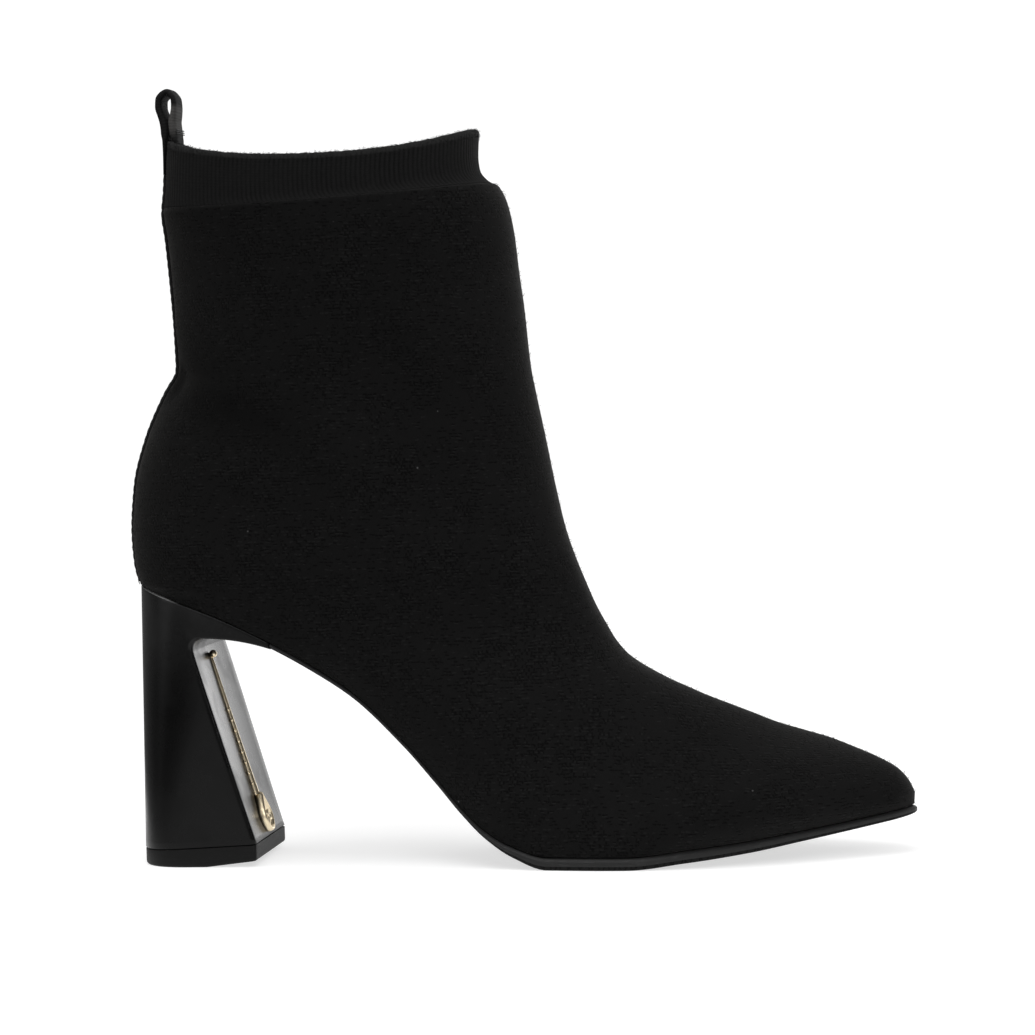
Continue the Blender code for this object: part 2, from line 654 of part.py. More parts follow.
def make_heel_rod():
    """A slim bar down the breast with a round bead at its head."""
    foot, head, _ = breast_line()
    low = CHARM_FOOT + CHARM_HEIGHT + GAP
    high = float(np.hypot(*(head - foot))) - ROD_START
    bpy.ops.mesh.primitive_cube_add(size=1)
    bar = bpy.context.object
    x, z = on_breast((low + high) / 2, GAP + ROD_DEPTH / 2)
    bar.scale = (ROD_DEPTH, ROD_WIDTH, high - low)
    bpy.ops.object.transform_apply(location=False, rotation=False, scale=True)
    bar.location = (x, 0, z)
    bar.rotation_euler = (0, -breast_tilt(), 0)
    mesh = bar.data
    mesh.name = "heel_rod"
    for collection in bar.users_collection:
        collection.objects.unlink(bar)
    place, turn = bar.location.copy(), bar.rotation_euler.copy()
    bpy.data.objects.remove(bar)
    thing = new_object("heel_rod", mesh, (0.75, 0.56, 0.3), 0.2, 1.0)
    thing.location = place
    thing.rotation_euler = turn
    edge = thing.modifiers.new("edge", "BEVEL")
    edge.width = ROD_DEPTH / 5
    edge.segments = 2
    x, z = on_breast(high, GAP + BEAD_DIAMETER / 2)
    ball = bmesh.new()
    bmesh.ops.create_uvsphere(ball, u_segments=16, v_segments=10, radius=BEAD_DIAMETER / 2)
    bead_mesh = bpy.data.meshes.new("bead")
    ball.to_mesh(bead_mesh)
    ball.free()
    bead = add_cutter("bead", bead_mesh)
    bead.location = (x, 0, z)
    join = thing.modifiers.new("bead", "BOOLEAN")
    join.operation = "UNION"
    join.object = bead


for old in list(bpy.data.objects):
    bpy.data.objects.remove(old)
boot = bpy.data.collections.new("sock_boot")
cutters = bpy.data.collections.new("cutters")
for group in (boot, cutters):
    bpy.context.scene.collection.children.link(group)

make_upper()
make_insole()
make_outsole()
make_top_lift()
make_heel_block()
make_backstay()
make_pull_loop()
make_heel_rod()
make_charm()
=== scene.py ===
"""Looks of the sock boot: knit, ribbed cuff, tapes, covered heel, sole and gold-coloured trim.

Metres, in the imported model's frame: +X to the toe, +Y to the inner side of the foot, +Z up.
"""

import math

import bmesh
import bpy
import numpy as np
from mathutils import Matrix, Vector


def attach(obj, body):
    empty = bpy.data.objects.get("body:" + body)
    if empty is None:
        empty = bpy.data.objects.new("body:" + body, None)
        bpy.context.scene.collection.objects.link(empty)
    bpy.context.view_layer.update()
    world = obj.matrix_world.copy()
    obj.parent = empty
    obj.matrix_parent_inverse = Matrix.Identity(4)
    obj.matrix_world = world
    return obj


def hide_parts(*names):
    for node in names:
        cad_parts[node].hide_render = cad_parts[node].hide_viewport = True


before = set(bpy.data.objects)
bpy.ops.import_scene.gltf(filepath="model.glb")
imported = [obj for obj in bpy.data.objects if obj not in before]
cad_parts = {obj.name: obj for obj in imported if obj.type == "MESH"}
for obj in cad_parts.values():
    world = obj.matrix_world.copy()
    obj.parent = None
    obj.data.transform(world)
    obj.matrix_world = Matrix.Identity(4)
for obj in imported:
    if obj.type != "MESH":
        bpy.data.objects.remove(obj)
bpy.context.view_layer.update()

# Camera, at the photograph's angle to the boot
IMAGE_SIZE = 1035
PIXELS_PER_METRE = 3290
CAMERA_DISTANCE = 1.100
CAMERA_AZIMUTH = math.radians(7.5)
CAMERA_ELEVATION = math.radians(2.5)
CAMERA_ROLL = math.radians(1.5)
CAMERA_TARGET = Vector((0.1058, 0.0, 0.1030))
SENSOR = 36.0

# The pale board under the boot: left, right, near and far edge
FLOOR = (-0.13, 0.95, -0.34, 1.4)
FLOOR_GLOW = 0.64
SEEN_WORLD = 1.05

# Soft lamps, in metres and watts
LAMP_COLUMNS = ("name", "place", "target", "width", "height", "power")
LAMPS = (
    ("top_softbox", (0.0, -0.3, 1.3), (0.08, 0, 0.1), 1.0, 0.8, 9.0),
    ("left_strip", (-0.9, -0.25, 0.5), (0.0, 0, 0.1), 0.25, 1.0, 1.2),
    ("front_softbox", (0.5, -1.3, 0.9), (0.1, 0, 0.1), 0.6, 0.6, 5.0),
    ("back_softbox", (0.25, 1.5, 0.22), (0.02, 0, 0.05), 0.6, 0.5, 1.8),
    ("right_strip", (0.95, -0.14, 0.12), (0.02, 0, 0.04), 0.09, 0.5, 1.1),
)

# Last and shaft
LENGTH = 0.2366
BALL_WIDTH = 0.0748
SEAT_HEIGHT = 0.0855
INSTEP_RISE = 0.842
INSTEP_HEIGHT = SEAT_HEIGHT * INSTEP_RISE
SHAFT_HEIGHT = 0.133
SHAFT_WIDTH = 0.065
TOE_SPRING = 0.0102
SEAT_RADIUS = 0.025
TOE_RADIUS = 0.007

# Walls and layers
WALL = 0.002
GAP = 0.0003
SOLE_THICKNESS = 0.0037
SOLE_MARGIN = 0.0008
INSOLE_THICKNESS = 0.002
INSOLE_CLEARANCE = 0.0008

# Knit
WALE = 0.00138
COURSE = 0.00098
RIB_DEPTH = 0.00012
CUFF_END = 3.55
RIM_BUMP = 0.00006
BODY_LIP = 0.00008
BODY_SWELL = 0.0002
HOLLOW_REACH = 0.016

# Knit finish: the chance bounds of gaps, raised floats and upright lines, how dark gaps are, and how dark the
# painted shade in the ankle's fold is
PATCH_SIZE = 0.014
GAP_BOUND = 0.80
GAP_PATCHES = 0.26
FLOAT_RARER = 0.12
UPRIGHT_BOUND = 0.55
GAP_SHADE = 0.80
HOLLOW_SHADE = 0.52

# Cuff
HALF_RIBS = 88
POINTS_PER_RIB = 6
RIM_STEP = 0.0012
RIM_PLACE = 0.0002

# Heel
HEEL_WIDTH = 0.046
HEEL_CORNER = 0.018
HEEL_SQUARENESS = 2.8
SEAT_MARGIN = 0.0004
SEAT_EDGE = 0.0009
LIFT_THICKNESS = 0.005
LIFT_RISE = 0.0018
LIFT_FLAT = 0.022
LIFT_EDGE = 0.0009
BREAST_FOOT = 0.0392
BREAST_HEAD = 0.0218
BREAST_DROP = 0.0205
BREAST_EDGE = 0.0016
BREAST_HOLLOW = 0.0009
LIFT_HOLLOW = 0.3
JOINT_INSET = 0.0002
WING_END = 0.0457
WING_CROWN = 0.0355
WING_THICKNESS = 0.0018
WING_RADIUS = 0.0035

# Backstay and pull loop
STAY_WIDTH = 0.009
STAY_THICKNESS = 0.001
LOOP_WIDTH = 0.011
LOOP_TOP = 0.0156
LOOP_TAIL = 0.010

# Heel trim
ROD_WIDTH = 0.0022
ROD_DEPTH = 0.0014
ROD_TAPER = 0.55
ROD_START = 0.0022
HEAD_BEAD = 0.0024
CHARM_WIDTH = 0.0095
CHARM_HEIGHT = 0.0125
CHARM_DEPTH = 0.0024
CHARM_FOOT = 0.0012

# What is repeated, with the named inputs of its node tree
STUDS = {"Pitch": 0.0034, "Diameter": 0.0011}
STAY_STITCHES = {"Pitch": 0.0026, "Length": 0.0020, "Width": 0.00028}
TACK_STITCHES = {"Pitch": 0.0011, "Length": 0.0010, "Width": 0.0004}
TACK_HEIGHTS = (0.0024, 0.0030, 0.0036)
KNIT_FUZZ = {"Density": 150000.0, "Length": 0.00075, "Seed": 3}
RIM_FUZZ = {"Density": 2.6e6, "Length": 0.0006, "Seed": 5}

# The featherline, where the upper ends on the sole. along is a share of LENGTH, heel of the seat's
# height over the sole, toe of TOE_SPRING, half and mid of BALL_WIDTH, sole of SOLE_THICKNESS.
FEATHER_COLUMNS = ("along", "heel", "toe", "half", "mid", "sole")
FEATHER = (
    (0.008, 1.000, 0.00, 0.334, 0.000, 0.40),
    (0.042, 0.969, 0.00, 0.334, 0.000, 0.40),
    (0.114, 0.896, 0.00, 0.338, -0.003, 0.40),
    (0.190, 0.791, 0.00, 0.328, -0.013, 0.40),
    (0.245, 0.699, 0.00, 0.308, -0.020, 0.40),
    (0.300, 0.589, 0.00, 0.291, -0.029, 0.40),
    (0.359, 0.423, 0.00, 0.291, -0.043, 0.41),
    (0.402, 0.282, 0.00, 0.307, -0.047, 0.43),
    (0.435, 0.172, 0.00, 0.334, -0.047, 0.48),
    (0.465, 0.092, 0.00, 0.365, -0.043, 0.60),
    (0.499, 0.037, 0.00, 0.401, -0.033, 0.82),
    (0.545, 0.000, 0.00, 0.445, -0.023, 1.00),
    (0.647, 0.000, 0.00, 0.486, -0.008, 1.00),
    (0.719, 0.000, 0.16, 0.457, 0.004, 1.00),
    (0.795, 0.000, 0.32, 0.378, 0.017, 0.92),
    (0.858, 0.000, 0.51, 0.287, 0.021, 0.82),
    (0.921, 0.000, 0.71, 0.187, 0.027, 0.74),
    (0.999, 0.000, 1.00, 0.070, 0.033, 0.68),
)

# Shaft sections, from the collar down to the back of the seat, each a plane from front to back.
SHAFT_COLUMNS = ("front", "front_up", "back", "back_up", "half", "sag", "widest", "round")
SHAFT = (
    (0.4620, 1.014, 0.0590, 1.012, 0.462, 0.050, 0.50, 2.30),
    (0.4600, 0.958, 0.0572, 0.956, 0.462, 0.040, 0.50, 2.30),
    (0.4620, 0.926, 0.0550, 0.896, 0.463, 0.028, 0.50, 2.30),
    (0.4720, 0.902, 0.0530, 0.868, 0.472, 0.018, 0.50, 2.28),
    (0.4850, 0.888, 0.0525, 0.855, 0.486, 0.012, 0.50, 2.26),
    (0.4945, 0.860, 0.0520, 0.840, 0.492, 0.007, 0.50, 2.24),
    (0.5040, 0.787, 0.0555, 0.790, 0.498, 0.000, 0.50, 2.20),
    (0.5100, 0.684, 0.0600, 0.690, 0.501, 0.000, 0.50, 2.20),
    (0.5150, 0.610, 0.0635, 0.590, 0.498, 0.000, 0.49, 2.20),
    (0.5195, 0.514, 0.0650, 0.500, 0.489, 0.000, 0.48, 2.20),
    (0.5225, 0.465, 0.0640, 0.480, 0.483, 0.000, 0.47, 2.20),
    (0.5280, 0.410, 0.0480, 0.432, 0.480, 0.000, 0.45, 2.25),
    (0.5390, 0.307, 0.0220, 0.333, 0.483, 0.000, 0.42, 2.30),
    (0.5495, 0.204, 0.0050, 0.225, 0.486, 0.000, 0.37, 2.35),
    (0.5620, 0.101, 0.0000, 0.120, 0.480, 0.000, 0.32, 2.40),
    (0.5750, 0.030, 0.0020, 0.050, 0.465, 0.000, 0.29, 2.45),
    (0.5860, -0.020, 0.0080, 0.000, 0.446, 0.000, 0.27, 2.50),
)

# Foot sections, from the back of the seat to the toe tip, each a plane from featherline to ridge.
FOOT_COLUMNS = ("front", "height", "under", "half", "mid", "ridge", "widest", "round")
FOOT = (
    (0.5980, 1.000, 0.0130, 0.382, 0.000, 0.000, 0.26, 2.50),
    (0.6110, 0.917, 0.0480, 0.377, 0.000, 0.003, 0.25, 2.50),
    (0.6230, 0.847, 0.1180, 0.374, -0.004, 0.006, 0.24, 2.50),
    (0.6375, 0.789, 0.1900, 0.374, -0.010, 0.010, 0.25, 2.40),
    (0.6530, 0.750, 0.2540, 0.377, -0.015, 0.013, 0.27, 2.30),
    (0.6720, 0.708, 0.3130, 0.385, -0.020, 0.020, 0.28, 2.20),
    (0.6930, 0.662, 0.3680, 0.398, -0.026, 0.028, 0.28, 2.15),
    (0.7140, 0.622, 0.4140, 0.414, -0.029, 0.034, 0.26, 2.10),
    (0.7375, 0.579, 0.4560, 0.432, -0.028, 0.040, 0.24, 2.05),
    (0.7650, 0.535, 0.5070, 0.455, -0.022, 0.044, 0.21, 2.00),
    (0.7950, 0.486, 0.5580, 0.479, -0.016, 0.047, 0.18, 1.95),
    (0.8260, 0.432, 0.6170, 0.500, -0.009, 0.047, 0.16, 1.90),
    (0.8600, 0.382, 0.6850, 0.497, 0.000, 0.046, 0.16, 1.90),
    (0.8940, 0.333, 0.7610, 0.440, 0.010, 0.043, 0.18, 1.90),
    (0.9260, 0.276, 0.8330, 0.347, 0.019, 0.040, 0.20, 1.90),
    (0.9550, 0.219, 0.9000, 0.247, 0.025, 0.037, 0.24, 1.90),
    (0.9790, 0.160, 0.9550, 0.165, 0.029, 0.035, 0.30, 1.95),
    (0.9930, 0.100, 0.9850, 0.112, 0.032, 0.034, 0.35, 2.00),
    (1.0000, 0.049, 0.9990, 0.080, 0.033, 0.033, 0.40, 2.00),
)

# Soft folds pressed into the knit, in side view: from one end to the other, how wide and how deep.
# A negative depth is a ridge.
FOLD_COLUMNS = ("from_x", "from_z", "to_x", "to_z", "width", "depth")
FOLDS = (
    (-0.002, 0.1485, 0.046, 0.1240, 0.0070, 0.0024),
    (0.006, 0.1630, 0.040, 0.1470, 0.0075, -0.0009),
    (0.006, 0.1310, 0.036, 0.1140, 0.0070, -0.0008),
    (0.094, 0.1420, 0.070, 0.1330, 0.0080, 0.0006),
    (0.118, 0.0840, 0.100, 0.0720, 0.0070, 0.0005),
)

HEEL_BACK = FEATHER[0][0] * LENGTH - SEAT_MARGIN
ORIGIN_X = HEEL_BACK + LIFT_FLAT / 2
CORNER = len(SHAFT) - 1
TOE = CORNER + len(FOOT)


def column(table, names, name):
    return np.array([row[names.index(name)] for row in table])


def named_rows(table, names):
    return [dict(zip(names, row)) for row in table]


def run_along(line):
    """The length run at each point of a line, from its start."""
    return np.concatenate(([0], np.cumsum(np.linalg.norm(np.diff(line, axis=0), axis=1))))


def smooth(places, values, at):
    """Monotone cubic through the rows of a table, read at the given places."""
    places, values, at = (np.asarray(v, dtype=float) for v in (places, values, at))
    step = np.diff(places)
    slope = np.diff(values) / step
    bend = np.zeros_like(values)
    bend[0], bend[-1] = slope[0], slope[-1]
    same = slope[:-1] * slope[1:] > 0
    before, after = slope[:-1][same], slope[1:][same]
    bend[1:-1][same] = 2 * before * after / (before + after)
    i = np.clip(np.searchsorted(places, at, side="right") - 1, 0, len(step) - 1)
    t = (at - places[i]) / step[i]
    rise = (values[i + 1] - values[i]) * t * t * (3 - 2 * t)
    tilt = step[i] * t * (1 - t) * (bend[i] * (1 - t) - bend[i + 1] * t)
    return values[i] + rise + tilt


def feather(x):
    """Height, half width, middle and sole thickness of the last's bottom edge at x."""
    along = column(FEATHER, FEATHER_COLUMNS, "along") * LENGTH
    x = np.clip(x, along[0], along[-1])
    value = {n: smooth(along, column(FEATHER, FEATHER_COLUMNS, n), x) for n in FEATHER_COLUMNS[1:]}
    base = SOLE_THICKNESS + GAP
    height = base + value["heel"] * (SEAT_HEIGHT - base) + value["toe"] * TOE_SPRING
    half = value["half"] * BALL_WIDTH * seat_round(x) * toe_round(x)
    return height, half, value["mid"] * BALL_WIDTH, value["sole"] * SOLE_THICKNESS


def seat_round(x):
    back = FEATHER[0][0] * LENGTH
    return np.sqrt(1 - np.clip(1 - (x - back) / SEAT_RADIUS, 0, 1) ** 2)


def toe_round(x):
    tip = FEATHER[-1][0] * LENGTH
    return np.sqrt(1 - np.clip(1 - (tip - x) / TOE_RADIUS, 0, 1) ** 2)


def fan():
    """The tables' rows as sizes in metres, one row for each plane from collar to toe."""
    shaft = {n: column(SHAFT, SHAFT_COLUMNS, n) for n in SHAFT_COLUMNS}
    foot = {n: column(FOOT, FOOT_COLUMNS, n) for n in FOOT_COLUMNS}
    none = np.zeros(len(SHAFT))
    return {
        "front": np.concatenate((shaft["front"], foot["front"])) * LENGTH,
        "front_z": np.concatenate((
            SEAT_HEIGHT + shaft["front_up"] * SHAFT_HEIGHT,
            feather(foot["front"] * LENGTH)[0] + foot["height"] * INSTEP_HEIGHT,
        )),
        "half": np.concatenate((shaft["half"] * SHAFT_WIDTH, foot["half"] * BALL_WIDTH)),
        "mid": np.concatenate((none, foot["mid"])) * BALL_WIDTH,
        "ridge": np.concatenate((none, foot["ridge"])) * BALL_WIDTH,
        "sag": np.concatenate((shaft["sag"] * SHAFT_HEIGHT, np.zeros(len(FOOT)))),
        "widest": np.concatenate((shaft["widest"], foot["widest"])),
        "round": np.concatenate((shaft["round"], foot["round"])),
    }


def planes(at):
    """Each section's own sizes at row numbers at, where the seat's back is the last shaft row."""
    rows = fan()
    value = {n: smooth(np.arange(len(v)), v, at) for n, v in rows.items()}
    shaft_at = np.minimum(at, CORNER)
    shaft_rows = np.arange(len(SHAFT))
    back = smooth(shaft_rows, column(SHAFT, SHAFT_COLUMNS, "back") * LENGTH, shaft_at)
    back_z = smooth(shaft_rows, column(SHAFT, SHAFT_COLUMNS, "back_up"), shaft_at)
    under = np.concatenate((FEATHER[0][:1], column(FOOT, FOOT_COLUMNS, "under"))) * LENGTH
    under = smooth(np.arange(len(FOOT) + 1), under, np.maximum(at - CORNER, 0))
    height, half, mid, _ = feather(under)
    on_foot = at > CORNER
    value["back"] = np.where(on_foot, under, back)
    value["back_z"] = np.where(on_foot, height, SEAT_HEIGHT + back_z * SHAFT_HEIGHT)
    value["edge"] = np.where(on_foot, half, 0.0)
    value["edge_mid"] = np.where(on_foot, mid, 0.0)
    value["half"] = value["half"] * np.where(on_foot, toe_round(under), 1.0)
    return value


def form(at, lower_steps=40, upper_steps=60):
    """Points of the last's surface, a row for each plane, from the outer edge over to the inner."""
    p = {n: v[:, None] for n, v in planes(np.asarray(at, dtype=float)).items()}
    low = np.linspace(0, 1, lower_steps + 1)[None, :-1] * math.pi / 2
    high = np.linspace(0, 1, upper_steps + 1)[None, :] * math.pi / 2
    power = p["round"]
    held = np.clip(1 - (p["edge"] / np.maximum(p["half"], 1e-6)) ** power, 0, 1)
    reach = held * np.cos(low) ** power
    share = np.hstack((p["widest"] * (1 - np.cos(low)), p["widest"] + (1 - p["widest"]) * np.sin(high)))
    half = np.hstack((
        p["half"] * np.clip(1 - reach, 0, 1) ** (1 / power),
        p["half"] * np.clip(1 - np.sin(high) ** power, 0, 1) ** (1 / power),
    ))
    lower = np.clip(share / p["widest"], 0, 1)
    upper = np.clip((share - p["widest"]) / (1 - p["widest"]), 0, 1)
    mid = p["edge_mid"] + (p["mid"] - p["edge_mid"]) * lower + (p["ridge"] - p["mid"]) * upper**2
    x = p["back"] + share * (p["front"] - p["back"])
    z = p["back_z"] + share * (p["front_z"] - p["back_z"])
    z = z - p["sag"] * (half / np.maximum(p["half"], 1e-6)) ** 2
    outer = np.stack((x, mid - half, z), axis=-1)
    inner = np.stack((x, mid + half, z), axis=-1)[:, -2::-1]
    return np.concatenate((outer, inner), axis=1) - [ORIGIN_X, 0, 0]


def skin(at, half_columns):
    """The form spaced evenly round each section, with the flat side-view chart of both halves."""
    fine = form(at)
    middle = fine.shape[1] // 2
    share = np.linspace(0, 1, half_columns + 1)
    points, charts = [], []
    for half, side in ((fine[:, :middle + 1], -1), (fine[:, middle:], 1)):
        rows, chart = [], []
        for line in half:
            run = run_along(line)
            even = share * run[-1]
            row = np.column_stack([np.interp(even, run, line[:, k]) for k in range(3)])
            widest = int(np.argmax(side * row[:, 1]))
            way = row[-1, ::2] - row[0, ::2]
            way = way / max(np.linalg.norm(way), 1e-9)
            rows.append(row)
            chart.append(row[widest, ::2] + (even - even[widest])[:, None] * way)
        points.append(np.array(rows))
        charts.append(np.array(chart))
    grid = np.concatenate((points[0], points[1][:, 1:]), axis=1)
    return grid, np.concatenate(charts, axis=1)


def outward(grid):
    """Unit normals of a skin, away from the boot."""
    around = np.gradient(grid, axis=1)
    along = np.gradient(grid, axis=0)
    normal = np.cross(along, around)
    length = np.linalg.norm(normal, axis=-1, keepdims=True)
    normal = normal / np.maximum(length, 1e-12)
    quarter = grid.shape[1] // 4
    if normal[len(grid) // 3, quarter, 1] > 0:
        normal = -normal
    return normal


def fold_depth(grid):
    """How far each point is pressed in by the folds, which die out beside the back seam."""
    depth = np.zeros(grid.shape[:2])
    for fold in named_rows(FOLDS, FOLD_COLUMNS):
        start = np.array((fold["from_x"], fold["from_z"]))
        way = np.array((fold["to_x"], fold["to_z"])) - start
        along = ((grid[..., ::2] - start) @ way) / (way @ way)
        away = np.linalg.norm(grid[..., ::2] - start - np.clip(along, 0, 1)[..., None] * way, axis=-1)
        fade = np.clip(1.15 - along, 0, 1) ** 0.7
        depth += fold["depth"] * fade * np.exp(-((away / fold["width"]) ** 2))
    from_seam = np.clip((np.abs(grid[..., 1]) - STAY_WIDTH * 0.55) / 0.008, 0, 1)
    return depth * from_seam**2 * (3 - 2 * from_seam)


# Nodes of the materials

def node(tree, kind, inputs=None, **settings):
    made = tree.nodes.new(kind)
    for name, value in settings.items():
        setattr(made, name, value)
    for name, value in (inputs or {}).items():
        socket = made.inputs[name]
        if isinstance(value, bpy.types.NodeSocket):
            tree.links.new(value, socket)
        else:
            socket.default_value = value
    return made


def calc(tree, operation, *values):
    return node(tree, "ShaderNodeMath", dict(enumerate(values)), operation=operation).outputs[0]


def plus(tree, *values):
    return calc(tree, "ADD", *values)


def minus(tree, *values):
    return calc(tree, "SUBTRACT", *values)


def times(tree, *values):
    return calc(tree, "MULTIPLY", *values)


def parts(tree, vector):
    """The X, Y and Z of a vector."""
    return node(tree, "ShaderNodeSeparateXYZ", {"Vector": vector}).outputs


def joined(tree, x, y, z=0.0):
    return node(tree, "ShaderNodeCombineXYZ", {"X": x, "Y": y, "Z": z}).outputs[0]


def along_way(tree, vector, way):
    """How far a vector reaches along a unit way."""
    return node(tree, "ShaderNodeVectorMath", {0: vector, 1: way}, operation="DOT_PRODUCT").outputs["Value"]


def feed(tree, shader, **values):
    """Links values to the shader's sockets."""
    for socket, value in values.items():
        tree.links.new(value, shader.inputs[socket.replace("_", " ")])


def scaled(tree, vector, factors):
    inputs = {0: vector, 1: factors}
    return node(tree, "ShaderNodeVectorMath", inputs, operation="MULTIPLY").outputs[0]


def ramp(tree, value, low, high):
    inputs = {"Value": value, "From Min": low, "From Max": high}
    return node(tree, "ShaderNodeMapRange", inputs, interpolation_type="SMOOTHSTEP").outputs["Result"]


def blend(tree, share, first, second):
    mixed = node(tree, "ShaderNodeMix", data_type="RGBA")
    for socket, value in (("Factor_Float", share), ("A_Color", first), ("B_Color", second)):
        target = next(s for s in mixed.inputs if s.identifier == socket)
        if isinstance(value, bpy.types.NodeSocket):
            tree.links.new(value, target)
        else:
            target.default_value = value
    return next(s for s in mixed.outputs if s.identifier == "Result_Color")


def noise(tree, vector, size, detail=3.0, roughness=0.55):
    inputs = {"Vector": vector, "Scale": 1 / size, "Detail": detail, "Roughness": roughness}
    return node(tree, "ShaderNodeTexNoise", inputs).outputs["Fac"]


def grey(value, warm=0.0):
    return (value * (1 + warm), value, value * (1 - warm), 1.0)


def material(name, colour, roughness, **sockets):
    """A material with its plain values on the shader's own sockets."""
    made = bpy.data.materials.new(name)
    made.use_nodes = True
    shader = made.node_tree.nodes["Principled BSDF"]
    shader.inputs["Base Color"].default_value = colour
    shader.inputs["Roughness"].default_value = roughness
    for socket, value in sockets.items():
        shader.inputs[socket.replace("_", " ")].default_value = value
    return made, made.node_tree, shader


def object_place(tree):
    return node(tree, "ShaderNodeTexCoord").outputs["Object"]


def own_map(tree):
    return node(tree, "ShaderNodeUVMap", uv_map="UVMap").outputs["UV"]


def raise_surface(tree, shader, height, distance, strength):
    inputs = {"Height": height, "Distance": distance, "Strength": strength}
    feed(tree, shader, Normal=node(tree, "ShaderNodeBump", inputs).outputs["Normal"])


def lint(tree, place, spacing, size):
    """A few pale specks: 1 on a speck, 0 elsewhere."""
    inputs = {"Vector": place, "Scale": 1 / spacing, "Randomness": 1.0}
    cells = node(tree, "ShaderNodeTexVoronoi", inputs)
    near = ramp(tree, cells.outputs["Distance"], size / spacing, 0.4 * size / spacing)
    picked = node(tree, "ShaderNodeSeparateColor", {"Color": cells.outputs["Color"]}).outputs["Red"]
    return times(tree, near, calc(tree, "GREATER_THAN", picked, 0.6))


def near_line(tree, value, place, half, soft):
    """1 where value is at place, down to 0 beyond half its width."""
    away = calc(tree, "ABSOLUTE", minus(tree, value, place))
    return ramp(tree, away, half + soft, half)


def hollow_shade(tree, side_view, place):
    """Painted shade along the ankle's main fold, where the knit is pressed close: 1 in its middle, down to 0.
    """
    fold = named_rows(FOLDS, FOLD_COLUMNS)[0]
    way = (fold["to_x"] - fold["from_x"], fold["to_z"] - fold["from_z"])
    length = math.hypot(*way)
    start = (-fold["from_x"], -fold["from_z"], 0.0)
    shifted = node(tree, "ShaderNodeVectorMath", {0: side_view, 1: start}, operation="ADD").outputs[0]
    along = along_way(tree, shifted, (way[0] / length, way[1] / length, 0.0))
    over = along_way(tree, shifted, (-way[1] / length, way[0] / length, 0.0))
    sway = times(tree, minus(tree, noise(tree, place, 0.012), 0.5), 0.012)
    away = calc(tree, "ABSOLUTE", plus(tree, over, sway))
    near = ramp(tree, away, HOLLOW_REACH, 0.0)
    return times(tree, near, ramp(tree, along, length * 1.1, length * 0.3))


def knit_material():
    """Fine knit: short floats and the dark gaps over them, in rows, uneven as yarn is, with painted shade
    along the ankle's main fold.
    """
    made, tree, shader = material(
        "knit", grey(0.004), 0.85, Sheen_Weight=0.045, Sheen_Roughness=0.45,
        Sheen_Tint=grey(0.9, 0.03), Specular_IOR_Level=0.05,
    )
    chart = parts(tree, own_map(tree))
    place = object_place(tree)
    warp = times(tree, noise(tree, place, 0.004), 0.0016)
    row = calc(tree, "DIVIDE", plus(tree, chart["Y"], warp), COURSE)
    course = calc(tree, "FLOOR", row)
    slip = times(tree, noise(tree, place, 0.0025), 1.6)
    shift = plus(tree, times(tree, calc(tree, "MODULO", course, 2.0), 0.5), slip)
    across = plus(tree, calc(tree, "DIVIDE", chart["X"], WALE), shift)
    wale = calc(tree, "FLOOR", across)
    in_u = minus(tree, calc(tree, "FRACT", across), 0.5)
    in_v = minus(tree, calc(tree, "FRACT", row), 0.5)
    cell = joined(tree, wale, course)
    luck = node(tree, "ShaderNodeTexWhiteNoise", {"Vector": cell}, noise_dimensions="3D")
    chances = node(tree, "ShaderNodeSeparateColor", {"Color": luck.outputs["Color"]})
    patch = ramp(tree, noise(tree, place, PATCH_SIZE, 4.0, 0.6), 0.35, 0.65)
    bound = minus(tree, GAP_BOUND, times(tree, patch, GAP_PATCHES))
    gapped = calc(tree, "GREATER_THAN", chances.outputs["Red"], bound)
    lifted = calc(tree, "GREATER_THAN", chances.outputs["Green"], plus(tree, bound, FLOAT_RARER))
    upright = calc(tree, "GREATER_THAN", chances.outputs["Blue"], UPRIGHT_BOUND)
    length = near_line(tree, in_u, 0.0, 0.34, 0.12)
    gap = times(tree, length, near_line(tree, in_v, 0.22, 0.14, 0.10))
    gap = times(tree, gap, gapped)
    rib = times(tree, near_line(tree, in_u, 0.30, 0.13, 0.09), upright)
    dark = calc(tree, "MAXIMUM", gap, times(tree, rib, patch))
    light = times(tree, length, near_line(tree, in_v, -0.14, 0.12, 0.14))
    light = times(tree, light, lifted)
    weave = times(tree, length, near_line(tree, in_v, -0.05, 0.2, 0.25))
    fibre = times(tree, noise(tree, place, 0.0003, 3.0), 0.5)
    raised = plus(tree, times(tree, weave, 0.08), times(tree, light, 0.5))
    height = minus(tree, plus(tree, fibre, raised), dark)
    raise_surface(tree, shader, height, 0.00012, 0.7)
    cloud = plus(tree, 0.7, times(tree, noise(tree, place, 0.03), 0.6))
    tone = plus(tree, times(tree, light, 0.36), times(tree, weave, 0.02))
    tone = plus(tree, tone, times(tree, fibre, 0.25))
    tone = times(tree, plus(tree, tone, 0.40), cloud)
    tone = times(tree, tone, minus(tree, 1.0, times(tree, dark, GAP_SHADE)))
    # Painted shade: the knit's colour is darker along the ankle's main fold.
    pressed = hollow_shade(tree, joined(tree, chart["X"], chart["Y"]), place)
    tone = times(tree, tone, minus(tree, 1.0, times(tree, pressed, HOLLOW_SHADE)))
    yarn = blend(tree, tone, grey(0.0007), grey(0.0108))
    specks = lint(tree, place, 0.010, 0.00036)
    feed(tree, shader, Base_Color=blend(tree, specks, yarn, grey(0.07)))
    return made


